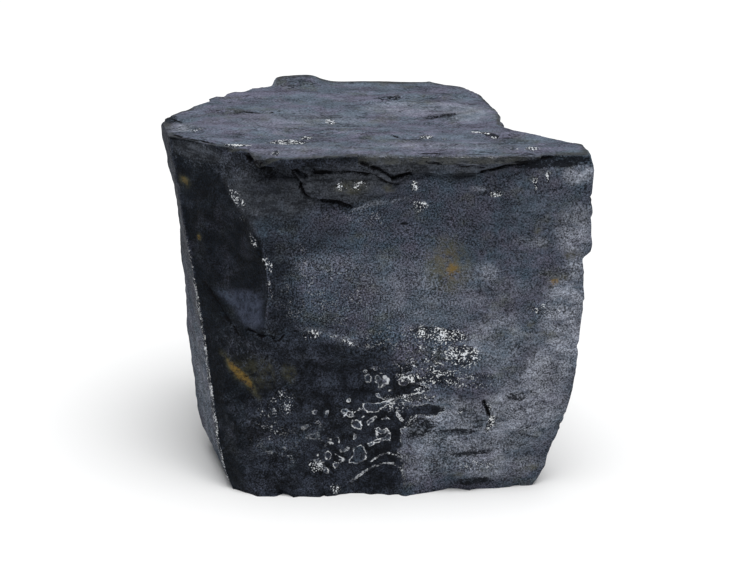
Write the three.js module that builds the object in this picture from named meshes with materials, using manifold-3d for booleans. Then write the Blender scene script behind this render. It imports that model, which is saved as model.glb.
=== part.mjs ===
// A raw block of black silica: one broken stone, about 182 x 129 x 158 mm.
// Millimetres, +Z up. X runs along the broad front, the front faces -Y, and the stone rests on z = 0.
// The beds lie level, so the top is a bedding plane and the sides are breaks across the beds.
import * as THREE from "three";
import { ConvexGeometry } from "three/addons/geometries/ConvexGeometry.js";
import { mergeVertices } from "three/addons/utils/BufferGeometryUtils.js";
import Module from "manifold-3d";

const wasm = await Module();
wasm.setup();

// ---- driving dimensions -------------------------------------------------------------------------

const TOP = 154; // the bedding plane that makes the top face
const FRONT = -59.5; // where the broad front face stands
const POINT_STEP = 7; // distance between the points of a section

// Each corner of the plan is a line from the base to the top, as rows of [height, x, y].
const CORNERS = {
  frontLeft: [
    [0, -62, -54], [22, -66.6, -50.8], [48, -69.6, -47], [75, -72.9, -43],
    [101, -77.1, -39.2], [127, -81.4, -35.4], [154, -85.4, -31.5],
  ],
  ridge: [
    [0, -56, -57.5], [40, -54, -60.5], [62, -49, -60], [80, -46, FRONT], [93, -43, FRONT],
    [106, -43.6, FRONT], [112, -48, FRONT], [124, -52, FRONT], [154, -36, FRONT],
  ],
  frontMiddle: [[0, 41, -56.5], [50, 42, -60], [154, 42, -59]],
  frontRight: [
    [0, 74, -47], [15, 75.7, -49.3], [25, 79.6, -50.8], [35, 82.7, -52.1], [49, 85.4, -54.4],
    [64, 86.9, -56], [78, 87.2, -56.2], [90, 88.8, -56.3], [101, 87.6, -56.4], [109, 87.3, -56.5],
    [112, 90.9, -56.6], [137, 90.3, -56.8], [147, 90.8, -57], [154, 88.6, -57],
  ],
  wingRear: [[0, 71, -27], [60, 82, -38], [109, 84, -40], [112, 87, -42], [154, 86.6, -42.7]],
  innerCorner: [[0, 61, -12], [80, 57, -17], [154, 54, -19.4]],
  rearRight: [[0, 60, 8], [80, 57.5, 4], [154, 55.4, 3]],
  backRight: [[0, 48, 38], [40, 55, 52], [90, 57, 55], [122, 54, 49], [154, 47, 38]],
  backMiddle: [[0, 20, 48], [40, 20, 60], [80, 22, 64.5], [120, 22, 60], [154, 26, 51]],
  backLeft: [[0, -30, 51], [40, -34, 60], [80, -32, 64.5], [120, -30, 60], [154, -27, 51.5]],
  leftBack: [[0, -50, 42], [35, -60, 53], [85, -64, 58], [122, -58, 54], [154, -45, 46]],
  leftRear: [[0, -68, 10], [35, -76, 12], [90, -79, 16], [154, -73, 22.5]],
  left: [
    [0, -71.8, -16], [7, -74.1, -15.7], [15, -77.5, -15.2], [22, -79.2, -14.9], [44, -81.2, -13.7],
    [60, -82.1, -12.9], [86, -82.7, -11.5], [102, -84.8, -10.7], [120, -85.6, -9.8], [134, -88.2, -9],
    [147, -90.6, -8.4], [154, -90.7, -8.1],
  ],
};

// The front's foot stands out and draws back unevenly: its line in plan, as rows of [x, y].
const FRONT_FOOT = [
  [-62, -54], [-53.6, -58.3], [-49, -61.2], [-36, -62.2], [-31.7, -60.5], [-23, -61.2], [-14.3, -59.3],
  [-10, -57.4], [-4, -57.4], [3, -60.3], [7.4, -62.2], [12, -62.2], [16.1, -59.3], [24.9, -56.4],
  [33.8, -52.8], [38.1, -53.5], [42.4, -56.2], [46.8, -54.5], [60.1, -52.6], [69.1, -49.7], [74, -47],
];
const FRONT_WALLS = ["frontLeft", "ridge", "frontMiddle"];
const FOOT_TOP = 12; // up to here the foot fades into the wall

// How rough the wall that starts at each corner is: lumps, and the ledges of the beds, in mm.
const ROUGHNESS = {
  frontLeft: [0.5, 0],
  ridge: [0.5, 0],
  frontMiddle: [0.4, 0],
  frontRight: [0.4, 0.3],
  wingRear: [0.8, 0.8],
  innerCorner: [0.6, 0.6],
  rearRight: [1, 1],
  backRight: [1, 1],
  backMiddle: [1.2, 1],
  backLeft: [1, 1],
  leftBack: [1, 0.9],
  leftRear: [0.8, 0.7],
  left: [0.5, 0],
};

// The beds, as rows of [lower edge, how far the bed stands out where the walls are roughest].
const BEDS = [
  [0, 0.4], [13, -0.9], [33, 0.9], [52, -0.4], [71, 1.1], [96, -0.7], [118, 0.8], [137, -0.5], [148, 0.9],
];
const BED_EDGE = 0.5; // half the height of the step between two beds
const LEDGE_FADE = { along: 23, up: 17 }; // how quickly a ledge comes and goes
// Levels of the sections between the bed edges.
const PLAIN_LEVELS = [0, 3, 6, 9, 23, 42, 62, 82, 107, 110, 112, 128, 143, TOP];

// ---- small tools --------------------------------------------------------------------------------

const SAME_POINT = 1e-4; // points closer than this are one, in mm
const degrees = THREE.MathUtils.degToRad;

function solidOf(geometry) {
  const plain = geometry.index ? geometry.toNonIndexed() : geometry.clone();
  plain.deleteAttribute("normal");
  plain.deleteAttribute("uv");
  const merged = mergeVertices(plain, SAME_POINT);
  const vertProperties = merged.attributes.position.array;
  const triVerts = new Uint32Array(merged.index.array);
  return new wasm.Manifold(new wasm.Mesh({ numProp: 3, vertProperties, triVerts }));
}

function geometryOf(solid) {
  const mesh = solid.getMesh();
  const positions = new Float32Array(mesh.vertProperties);
  const geometry = new THREE.BufferGeometry();
  geometry.setAttribute("position", new THREE.BufferAttribute(positions, 3));
  geometry.setIndex(new THREE.BufferAttribute(new Uint32Array(mesh.triVerts), 1));
  geometry.computeVertexNormals();
  return geometry;
}

function alongTable(table, height) {
  const after = table.findIndex((row) => row[0] >= height);
  if (after <= 0) return table[after < 0 ? table.length - 1 : 0].slice(1);
  const [low, high] = [table[after - 1], table[after]];
  const share = (height - low[0]) / (high[0] - low[0]);
  return low.slice(1).map((value, i) => value + (high[i + 1] - value) * share);
}

function seeded(seed) {
  let state = seed;
  return () => {
    state = (state * 16807) % 2147483647;
    return state / 2147483647;
  };
}

// Swells and lumps of three sizes on a wall, between -1 and 1. Each wall has its own phase.
function lumps(along, height, phase) {
  const broad = Math.sin(along / 19 + height / 31 + phase);
  const middle = Math.sin(height / 13 - along / 11 + 2.1 * phase);
  const fine = Math.sin(along / 7.3 + height / 5.9 + 3.7 * phase);
  return 0.5 * broad + 0.3 * middle + 0.2 * fine;
}

// ---- the rough block: level sections joined from the base to the top ------------------------------

// How far the ledge of the bed at this height stands out: it fades away here and there along the wall.
function bedLedge(along, height) {
  const bed = BEDS.filter((row) => row[0] <= height).at(-1);
  const fade = 0.5 + 0.5 * Math.sin(along / LEDGE_FADE.along + height / LEDGE_FADE.up);
  return fade * bed[1];
}

// How far the front's foot moves a point of the wall, from where it stands on the straight base line.
function footShift(base, height) {
  const after = Math.max(1, FRONT_FOOT.findIndex((row) => row[0] >= base.x));
  const [[x0, y0], [x1, y1]] = [FRONT_FOOT[after - 1], FRONT_FOOT[after]];
  const share = THREE.MathUtils.clamp((base.x - x0) / (x1 - x0), 0, 1);
  const fade = 1 - THREE.MathUtils.smoothstep(height, 0, FOOT_TOP);
  return fade * (y0 + (y1 - y0) * share - base.y);
}

function cornersAt(height) {
  return Object.values(CORNERS).map((table) => new THREE.Vector2(...alongTable(table, height)));
}

// The outline of the block at one height: straight walls from corner to corner, with their lumps and ledges.
function sectionAt(height, counts) {
  const names = Object.keys(CORNERS);
  const corners = cornersAt(height);
  const feet = cornersAt(0);
  const points = [];
  let around = 0;
  names.forEach((name, i) => {
    const [from, to] = [corners[i], corners[(i + 1) % names.length]];
    const [lumpSize, ledgeSize] = ROUGHNESS[name];
    const along = to.clone().sub(from);
    const outward = new THREE.Vector2(along.y, -along.x).normalize();
    const footed = FRONT_WALLS.includes(name);
    for (let k = 0; k < counts[i]; k++) {
      const share = k / counts[i];
      const distance = around + share * along.length();
      const inside = Math.min(1, 4 * share * (1 - share)); // 0 at the corners
      const relief = lumpSize * lumps(distance, height, 1 + i) + ledgeSize * bedLedge(distance, height);
      const point = from.clone().addScaledVector(along, share).addScaledVector(outward, inside * relief);
      if (footed) point.y += footShift(feet[i].clone().lerp(feet[i + 1], share), height);
      points.push(point);
    }
    around += along.length();
  });
  return points;
}

function roughBlock() {
  const steps = BEDS.slice(1).flatMap((bed) => [bed[0] - BED_EDGE, bed[0] + BED_EDGE]);
  const levels = [...PLAIN_LEVELS, ...steps].sort((a, b) => a - b);
  const middle = cornersAt(TOP / 2);
  const counts = middle.map((point, i) => {
    const length = point.distanceTo(middle[(i + 1) % middle.length]);
    return Math.max(1, Math.round(length / POINT_STEP));
  });
  const sections = levels.map((height) => sectionAt(height, counts));
  const n = sections[0].length;
  const positions = sections.flatMap((section, i) => section.flatMap((p) => [p.x, p.y, levels[i]]));
  const faces = [];
  for (let i = 0; i + 1 < levels.length; i++) {
    for (let k = 0; k < n; k++) {
      const [a, b] = [i * n + k, i * n + ((k + 1) % n)];
      faces.push(a, b, b + n, a, b + n, a + n);
    }
  }
  const last = (levels.length - 1) * n;
  for (const triangle of THREE.ShapeUtils.triangulateShape(sections.at(-1), [])) {
    faces.push(...triangle.map((k) => last + k));
  }
  for (const triangle of THREE.ShapeUtils.triangulateShape(sections[0], [])) {
    faces.push(...triangle.reverse());
  }
  const geometry = new THREE.BufferGeometry();
  geometry.setAttribute("position", new THREE.Float32BufferAttribute(positions, 3));
  geometry.setIndex(faces);
  return solidOf(geometry);
}

// ---- flake scars, plates and chips --------------------------------------------------------------

// Scars are shells of stone that broke away: rough squashed balls that sink into a wall.
// at = [x, y, z] of the ball and radii = [along the wall, out of the wall, up]. In degrees, turn is the
// wall's direction in plan, roll is the ball's lean within the wall, and tip makes it bite deeper above.
const SCARS = {
  underLip: { at: [-57, -68, 149], radii: [34, 16, 25], turn: 0, roll: -6, tip: 0 },
  facetMiddle: { at: [-78, -74, 108], radii: [34, 31, 58], turn: -30, roll: 4, tip: 0 },
  facetFoot: { at: [-84, -70, 52], radii: [30, 24, 40], turn: -36, roll: -8, tip: 0 },
  scoop: { at: [-60, -67.5, 55], radii: [33, 14.5, 25], turn: -16, roll: -24, tip: 14 },
  scoopStep: { at: [-42, -69, 62], radii: [18, 11.3, 14], turn: 0, roll: 24, tip: 12 },
  smoothScar: { at: [-17, -77, 56], radii: [40, 19, 30], turn: 4, roll: -16, tip: 10 },
  smoothScarFoot: { at: [-26, -73.4, 34], radii: [38, 14.2, 24], turn: 0, roll: 10, tip: 8 },
  baseDome: { at: [2.5, -68.5, 8], radii: [25, 10.2, 16], turn: 0, roll: 0, tip: 8 },
  baseLeft: { at: [-48, -76, 19], radii: [46, 18.5, 34], turn: -8, roll: 16, tip: 0 },
  gouge: { at: [47.6, -61, 42], radii: [2.2, 2.8, 6.5], turn: 0, roll: 22, tip: 0 },
  rightHollow: { at: [66, -94, 118], radii: [62, 35.4, 52], turn: 3, roll: 0, tip: 0 },
  lowerRight: { at: [58, -84, 26], radii: [60, 27.6, 44], turn: 12, roll: 10, tip: 0 },
  leftFlake: { at: [-101, -26, 112], radii: [30, 17, 36], turn: -77, roll: 0, tip: 0 },
  leftFoot: { at: [-91, -34, 40], radii: [30, 17, 34], turn: -74, roll: 12, tip: 0 },
  leftRearFlake: { at: [-104, 28, 108], radii: [44, 33, 50], turn: 234, roll: 18, tip: 6 },
  leftRearMiddle: { at: [-88, 46, 58], radii: [40, 26, 34], turn: 228, roll: -14, tip: 12 },
  backFlake: { at: [-22, 90, 114], radii: [52, 34, 36], turn: 184, roll: 12, tip: 8 },
  backMiddle: { at: [38, 90, 70], radii: [50, 30, 40], turn: 168, roll: -18, tip: 10 },
  backFoot: { at: [-18, 86, 16], radii: [46, 29, 34], turn: 180, roll: 8, tip: 6 },
  rearRightFlake: { at: [84, 30, 112], radii: [40, 29, 44], turn: 78, roll: 10, tip: 8 },
  rearRightFoot: { at: [82, 26, 34], radii: [40, 26, 42], turn: 84, roll: -12, tip: 0 },
  wingFlake: { at: [92, -10, 74], radii: [36, 28, 46], turn: 130, roll: 8, tip: 8 },
  rightFlake: { at: [108, -44, 80], radii: [30, 22, 28], turn: 95, roll: 10, tip: 0 },
};

// Chips are small bites along the edges: rows of [from, to, how many], each end [x, y, z].
const CHIPPED_EDGES = {
  frontBase: [[-54, -59.5, 0], [40, -58.5, 0], 8],
  frontBaseRight: [[44, -57.5, 0], [74, -47.5, 0], 4],
  facetBase: [[-72, -14, 0], [-58, -57, 0], 4],
  frontRight: [[90.6, -57, 146], [87.4, -56.6, 62], 5],
  frontRightFoot: [[83.8, -53, 40], [75.5, -49, 10], 3],
  facetEdge: [[-85, -32.5, 146], [-67, -50.5, 14], 7],
  topLeft: [[-80, 13, TOP], [-48, 43, TOP], 3],
  topWing: [[80, -38.5, TOP], [58, -22.5, TOP], 2],
  topRearRight: [[55.4, 6, TOP], [48, 37, TOP], 4],
  topBack: [[22, 51.5, TOP], [-14, 52, TOP], 3],
};
const CHIP = { least: 1.3, most: 4.2, sunk: 0.5, margin: 0.15, lean: 30 };

// Balls wider than this are made of more and smaller flats.
const WIDE_BALL = 20;
const BALL_DETAIL = { wide: 3, small: 1 };
const BALL_WAVE = 0.02; // how far the wavy outline leaves the ball, as a share of its radii

// Plates stand in front of the broad face: outlines in (x, height), and how far forward each stands.
const PLATES = {
  lower: {
    outline: [
      [-48, 150], [-46.8, 148.1], [-41.9, 149], [-35.8, 147.7], [-32.6, 145.6], [-29.8, 142.1],
      [-28.2, 137.8], [-24.9, 135.2], [-15.5, 134.8], [-8.5, 132.2], [-1, 136], [8, 140.5],
      [10.4, 141.7], [15.3, 147.3], [10, 151],
    ],
    front: FRONT - 0.9,
  },
  brow: {
    outline: [
      [-50, 153.6], [-49.5, 150.6], [-45, 150.2], [-40, 149.4], [-34, 150.2], [-27.6, 150.2],
      [-23.5, 147.7], [-11.3, 147.7], [-1.1, 146.8], [5.1, 143.4], [10.4, 141.9], [8, 146],
      [15.3, 147.3], [30, 147], [43.9, 147.7], [52, 149.8], [62.2, 152], [69, 153.6],
    ],
    front: FRONT - 1.9,
  },
};
const PLATE_ROOT = FRONT + 12; // how far back into the stone the plates reach

// Slabs lie level: outlines in plan, and the heights between which each lies.
const LIP = {
  outline: [
    [-44, -52], [-50, -52.5], [-48.5, -58], [-43, -61.4], [-34, -64], [-25, -64.2], [-12, -61.6],
    [-3, -59.6], [0, -55],
  ],
  low: 149.6,
  high: TOP - 0.3,
};
const TOP_LAMINA = {
  outline: [
    [-76, 5], [-62, 1.5], [-45, -0.5], [-30, 6], [-8, 13], [3, 21], [14, 28], [30, 27], [46, 31],
    [44, 40], [25, 50.4], [-26, 50.8], [-44.4, 45.4], [-72, 22],
  ],
  low: TOP - 2,
  high: TOP + 0.7,
};
// A wedge of the next bed is left on the back rim.
const LAST_BED = [
  [-44.4, 50.5, 153], [-44.4, 45.6, 153], [-44.6, 46, 157.7], [-44.3, 41, 154.4], [-43.9, 50.3, 158],
  [-30, 38, 154.2], [-31, 51.4, 157.6], [-27, 51.6, 156.8], [-17, 50.6, 154.4], [-16, 44, 154],
  [-17, 50.6, 153], [-27, 51.6, 153],
];

// Corners snapped off by flat breaks: a point of each break, the direction it faces, and its width.
const BREAKS = {
  frontLeftTop: { point: [-79.5, -37.5, 153], facing: [-0.42, -0.62, 0.66], width: 24 },
  lipCorner: { point: [-42.5, -58, 153.8], facing: [-0.45, -0.52, 0.72], width: 34 },
  leftTop: { point: [-90, -6, 152.6], facing: [-0.7, 0.1, 0.7], width: 20 },
  leftRearTop: { point: [-82, 9, 153], facing: [-0.55, 0.45, 0.7], width: 26 },
  backRightTop: { point: [45, 41, 152], facing: [0.6, 0.35, 0.72], width: 24 },
  rearRightTop: { point: [55, 12, 152.4], facing: [0.7, 0.05, 0.71], width: 22 },
  rightTop: { point: [89.2, -50, 152.6], facing: [0.72, 0.02, 0.69], width: 16 },
  frontRightTop: { point: [80, -59, 152.6], facing: [0.1, -0.7, 0.7], width: 26 },
  browTop: { point: [34, -58, 154], facing: [0, -0.66, 0.75], width: 66 },
  leftRearFoot: { point: [-66, 30, 22], facing: [-0.62, 0.62, -0.48], width: 400 },
  backFoot: { point: [6, 58, 12], facing: [0.1, 0.82, -0.56], width: 400 },
  wingFoot: { point: [73, -34, 16], facing: [0.78, 0.36, -0.5], width: 400 },
};

// A ball with flat faces and a wavy outline, as a shell of stone leaves.
function ball({ at, radii, turn, roll, tip }) {
  const detail = Math.max(...radii) > WIDE_BALL ? BALL_DETAIL.wide : BALL_DETAIL.small;
  const geometry = new THREE.IcosahedronGeometry(1, detail);
  const points = geometry.attributes.position;
  for (let i = 0; i < points.count; i++) {
    const p = new THREE.Vector3().fromBufferAttribute(points, i);
    const wave = Math.sin(5 * p.x + at[0]) + Math.sin(5 * p.z + at[2]) + Math.sin(4 * (p.x - p.z) + at[1]);
    p.multiplyScalar(1 + BALL_WAVE * wave);
    points.setXYZ(i, p.x, p.y, p.z);
  }
  geometry.scale(...radii);
  geometry.rotateX(degrees(tip));
  geometry.rotateY(degrees(roll));
  geometry.rotateZ(degrees(turn));
  geometry.translate(...at);
  return solidOf(geometry);
}

function outlineSolid(outline, depth) {
  const shape = new THREE.Shape(outline.map((p) => new THREE.Vector2(...p)));
  return new THREE.ExtrudeGeometry(shape, { depth, bevelEnabled: false });
}

function plate({ outline, front }) {
  const geometry = outlineSolid(outline, PLATE_ROOT - front);
  geometry.rotateX(Math.PI / 2);
  geometry.translate(0, PLATE_ROOT, 0);
  return solidOf(geometry);
}

function slab({ outline, low, high }) {
  const geometry = outlineSolid(outline, high - low);
  geometry.translate(0, 0, low);
  return solidOf(geometry);
}

function beyond({ point, facing, width }) {
  const geometry = new THREE.BoxGeometry(width, width, width);
  geometry.translate(0, 0, width / 2);
  const up = new THREE.Vector3(0, 0, 1);
  const direction = new THREE.Vector3(...facing).normalize();
  geometry.applyQuaternion(new THREE.Quaternion().setFromUnitVectors(up, direction));
  geometry.translate(...point);
  return solidOf(geometry);
}

function without(solid, tools) {
  return tools.reduce((left, tool) => left.subtract(tool), solid);
}

// Chips lie at uneven places along each edge, the same every time, and are set outwards to bite shallow.
function chips() {
  const random = seeded(7);
  return Object.values(CHIPPED_EDGES).flatMap(([from, to, count]) =>
    Array.from({ length: count }, (_, i) => {
      const share = (i + CHIP.margin + (1 - 2 * CHIP.margin) * random()) / count;
      const [x, y, z] = from.map((value, axis) => value + (to[axis] - value) * share);
      const size = CHIP.least + (CHIP.most - CHIP.least) * random() ** 2;
      const out = 1 + (CHIP.sunk * size) / Math.hypot(x, y);
      const radii = [size * (1 + random()), size * (0.6 + 0.4 * random()), size * (0.6 + 0.8 * random())];
      const turn = Math.atan2(y, x) / degrees(1) + 90;
      const roll = CHIP.lean * (2 * random() - 1);
      return { at: [x * out, y * out, z], radii, turn, roll, tip: 0 };
    }),
  );
}

function withAdded(solid, pieces) {
  return pieces.reduce((whole, piece) => whole.add(piece), solid);
}

const lastBed = solidOf(new ConvexGeometry(LAST_BED.map((p) => new THREE.Vector3(...p))));
const bedded = withAdded(roughBlock(), [slab(TOP_LAMINA), lastBed]);
const scarred = without(bedded, Object.values(SCARS).map(ball));
const plated = withAdded(scarred, [...Object.values(PLATES).map(plate), slab(LIP)]);
const silicaBlock = without(plated, [...Object.values(BREAKS).map(beyond), ...chips().map(ball)]);

// ---- the part -----------------------------------------------------------------------------------

const blackSilica = new THREE.MeshStandardMaterial({
  color: 0x3c4049,
  roughness: 0.85,
  metalness: 0,
  flatShading: true,
});

const stone = new THREE.Mesh(geometryOf(silicaBlock), blackSilica);
stone.name = "silica_block";
const box = new THREE.Box3().setFromObject(stone);
stone.position.set(-(box.min.x + box.max.x) / 2, -(box.min.y + box.max.y) / 2, 0);
const part = new THREE.Group();
part.add(stone);
export default part;
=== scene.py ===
"""A raw block of black silica on a pale floor: one broken stone, its skin, rims, crust and stains."""
import itertools
import math

import bpy
import numpy as np
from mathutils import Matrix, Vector


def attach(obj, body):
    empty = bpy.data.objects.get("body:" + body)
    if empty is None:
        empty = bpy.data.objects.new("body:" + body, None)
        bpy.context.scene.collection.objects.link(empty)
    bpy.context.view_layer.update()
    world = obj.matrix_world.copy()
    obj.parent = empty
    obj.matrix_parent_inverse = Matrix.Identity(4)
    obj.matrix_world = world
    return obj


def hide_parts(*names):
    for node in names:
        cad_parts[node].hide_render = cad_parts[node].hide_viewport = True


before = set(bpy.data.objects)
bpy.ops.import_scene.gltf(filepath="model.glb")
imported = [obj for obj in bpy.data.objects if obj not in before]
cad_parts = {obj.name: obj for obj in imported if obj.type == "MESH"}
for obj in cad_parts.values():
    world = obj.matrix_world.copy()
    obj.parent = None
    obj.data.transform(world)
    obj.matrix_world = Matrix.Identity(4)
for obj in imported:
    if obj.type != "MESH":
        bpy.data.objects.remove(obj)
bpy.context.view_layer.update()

MM = 0.001  # metres
NODE = "silica_block"

# ---------------------------------------------------------------------------------------------------
# The stone's driving values, in millimetres, before the stone is centred on its base
# ---------------------------------------------------------------------------------------------------

TOP = 154.0  # the bedding plane that makes the top face
FRONT = -59.5  # where the broad front face stands

# Each corner of the plan is a line from the base to the top, as rows of (height, x, y).
CORNERS = {
    "front_left": [(0, -62, -54), (22, -66.6, -50.8), (48, -69.6, -47), (75, -72.9, -43), (101, -77.1, -39.2),
                   (127, -81.4, -35.4), (154, -85.4, -31.5)],
    "ridge": [(0, -56, -57.5), (40, -54, -60.5), (62, -49, -60), (80, -46, FRONT), (93, -43, FRONT),
              (106, -43.6, FRONT), (112, -48, FRONT), (124, -52, FRONT), (154, -36, FRONT)],
    "front_middle": [(0, 41, -56.5), (50, 42, -60), (154, 42, -59)],
    "front_right": [(0, 74, -47), (15, 75.7, -49.3), (25, 79.6, -50.8), (35, 82.7, -52.1), (49, 85.4, -54.4),
                    (64, 86.9, -56), (78, 87.2, -56.2), (90, 88.8, -56.3), (101, 87.6, -56.4),
                    (109, 87.3, -56.5), (112, 90.9, -56.6), (137, 90.3, -56.8), (147, 90.8, -57),
                    (154, 88.6, -57)],
    "wing_rear": [(0, 71, -27), (60, 82, -38), (109, 84, -40), (112, 87, -42), (154, 86.6, -42.7)],
    "inner_corner": [(0, 61, -12), (80, 57, -17), (154, 54, -19.4)],
    "rear_right": [(0, 60, 8), (80, 57.5, 4), (154, 55.4, 3)],
    "back_right": [(0, 48, 38), (40, 55, 52), (90, 57, 55), (122, 54, 49), (154, 47, 38)],
    "back_middle": [(0, 20, 48), (40, 20, 60), (80, 22, 64.5), (120, 22, 60), (154, 26, 51)],
    "back_left": [(0, -30, 51), (40, -34, 60), (80, -32, 64.5), (120, -30, 60), (154, -27, 51.5)],
    "left_back": [(0, -50, 42), (35, -60, 53), (85, -64, 58), (122, -58, 54), (154, -45, 46)],
    "left_rear": [(0, -68, 10), (35, -76, 12), (90, -79, 16), (154, -73, 22.5)],
    "left": [(0, -71.8, -16), (7, -74.1, -15.7), (15, -77.5, -15.2), (22, -79.2, -14.9), (44, -81.2, -13.7),
             (60, -82.1, -12.9), (86, -82.7, -11.5), (102, -84.8, -10.7), (120, -85.6, -9.8),
             (134, -88.2, -9), (147, -90.6, -8.4), (154, -90.7, -8.1)],
}

# The front's foot stands out and draws back unevenly: its line in plan, as rows of (x, y).
FRONT_FOOT = [(-62, -54), (-53.6, -58.3), (-49, -61.2), (-36, -62.2), (-31.7, -60.5), (-23, -61.2),
              (-14.3, -59.3), (-10, -57.4), (-4, -57.4), (3, -60.3), (7.4, -62.2), (12, -62.2), (16.1, -59.3),
              (24.9, -56.4), (33.8, -52.8), (38.1, -53.5), (42.4, -56.2), (46.8, -54.5), (60.1, -52.6),
              (69.1, -49.7), (74, -47)]
FOOT_TOP = 12.0  # up to here the foot fades into the wall

# The four sides of the plan, each as the corners that it passes and how far along it each lies, from 0 to 1.
SIDES = {
    "front": [("front_left", 0), ("ridge", 0.2), ("front_middle", 0.74), ("front_right", 1)],
    "right": [("front_right", 0), ("wing_rear", 0.2), ("inner_corner", 0.72), ("rear_right", 1)],
    "back": [("left_rear", 0), ("left_back", 0.2), ("back_left", 0.35), ("back_middle", 0.66),
             ("back_right", 0.81), ("rear_right", 1)],
    "left": [("front_left", 0), ("left", 0.4), ("left_rear", 1)],
}

# The beds, as (lower edge, how far the bed stands out where the walls are roughest).
BEDS = [(0, 0.4), (13, -0.9), (33, 0.9), (52, -0.4), (71, 1.1), (96, -0.7), (118, 0.8), (137, -0.5),
        (148, 0.9)]

# Scars are shells of stone that broke away: squashed balls that sink into a wall, as (centre, radii along
# the wall, out of it and up, then turn, roll and tip in degrees).
SCARS = {
    "under_lip": ((-57, -68, 149), (34, 16, 25), 0, -6, 0),
    "facet_middle": ((-78, -74, 108), (34, 31, 58), -30, 4, 0),
    "facet_foot": ((-84, -70, 52), (30, 24, 40), -36, -8, 0),
    "scoop": ((-60, -67.5, 55), (33, 14.5, 25), -16, -24, 14),
    "scoop_step": ((-42, -69, 62), (18, 11.3, 14), 0, 24, 12),
    "smooth_scar": ((-17, -77, 56), (40, 19, 30), 4, -16, 10),
    "smooth_scar_foot": ((-26, -73.4, 34), (38, 14.2, 24), 0, 10, 8),
    "base_dome": ((2.5, -68.5, 8), (25, 10.2, 16), 0, 0, 8),
    "base_left": ((-48, -76, 19), (46, 18.5, 34), -8, 16, 0),
    "gouge": ((47.6, -61, 42), (2.2, 2.8, 6.5), 0, 22, 0),
    "right_hollow": ((66, -94, 118), (62, 35.4, 52), 3, 0, 0),
    "lower_right": ((58, -84, 26), (60, 27.6, 44), 12, 10, 0),
    "left_flake": ((-101, -26, 112), (30, 17, 36), -77, 0, 0),
    "left_foot": ((-91, -34, 40), (30, 17, 34), -74, 12, 0),
    "left_rear_flake": ((-104, 28, 108), (44, 33, 50), 234, 18, 6),
    "left_rear_middle": ((-88, 46, 58), (40, 26, 34), 228, -14, 12),
    "back_flake": ((-22, 90, 114), (52, 34, 36), 184, 12, 8),
    "back_middle": ((38, 90, 70), (50, 30, 40), 168, -18, 10),
    "back_foot": ((-18, 86, 16), (46, 29, 34), 180, 8, 6),
    "rear_right_flake": ((84, 30, 112), (40, 29, 44), 78, 10, 8),
    "rear_right_foot": ((82, 26, 34), (40, 26, 42), 84, -12, 0),
    "wing_flake": ((92, -10, 74), (36, 28, 46), 130, 8, 8),
    "right_flake": ((108, -44, 80), (30, 22, 28), 95, 10, 0),
}

# Chips are small bites along the edges, as (one end, other end, how many).
CHIPPED_EDGES = [
    ((-54, -59.5, 0), (40, -58.5, 0), 8),
    ((44, -57.5, 0), (74, -47.5, 0), 4),
    ((-72, -14, 0), (-58, -57, 0), 4),
    ((90.6, -57, 146), (87.4, -56.6, 62), 5),
    ((83.8, -53, 40), (75.5, -49, 10), 3),
    ((-85, -32.5, 146), (-67, -50.5, 14), 7),
    ((-80, 13, TOP), (-48, 43, TOP), 3),
    ((80, -38.5, TOP), (58, -22.5, TOP), 2),
    ((55.4, 6, TOP), (48, 37, TOP), 4),
    ((22, 51.5, TOP), (-14, 52, TOP), 3),
]
CHIP_SIZES = (1.3, 4.2)  # the least and the greatest
CHIP_SUNK = 0.5  # how far each lies out of the edge, as a share of its size
SCAR_WAVER = 0.04  # how far noise bends the balls' surfaces, as a share of their radii

# Plates stand in front of the broad face: outlines in (x, height), and where the front of each stands.
LOWER_PLATE = ([(-48, 150), (-46.8, 148.1), (-41.9, 149), (-35.8, 147.7), (-32.6, 145.6), (-29.8, 142.1),
                (-28.2, 137.8), (-24.9, 135.2), (-15.5, 134.8), (-8.5, 132.2), (-1, 136), (8, 140.5),
                (10.4, 141.7), (15.3, 147.3), (10, 151)], FRONT - 0.9)
BROW_PLATE = ([(-50, 156), (-49.5, 150.6), (-45, 150.2), (-40, 149.4), (-34, 150.2), (-27.6, 150.2),
               (-23.5, 147.7), (-11.3, 147.7), (-1.1, 146.8), (5.1, 143.4), (10.4, 141.9), (8, 146),
               (15.3, 147.3), (30, 147), (43.9, 147.7), (52, 149.8), (62.2, 152), (69, 153.6),
               (69, 156)], FRONT - 1.9)
LIP_FRONT = [(-50.5, -52.5), (-48.5, -58), (-43, -61.4), (-34, -64), (-25, -64.2), (-12, -61.6), (-3, -59.6),
             (0, -59)]
LIP_LOW = 149.6

# A lamina of the bed covers the rear of the top, and a wedge of the next bed is left on the back rim.
LAMINA = [(-76, 5), (-62, 1.5), (-45, -0.5), (-30, 6), (-8, 13), (3, 21), (14, 28), (30, 27), (46, 31),
          (60, 40), (40, 70), (-60, 70), (-90, 30)]
LAMINA_THICK = 0.7
LAST_BED = {"from_x": -44.4, "thins_from_x": -34, "to_x": -16, "front_y": 40, "back_y": 46, "thick": 3.9}

SKIN_THICK = 0.3  # how far the weathered skin stands out of the bare stone

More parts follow.
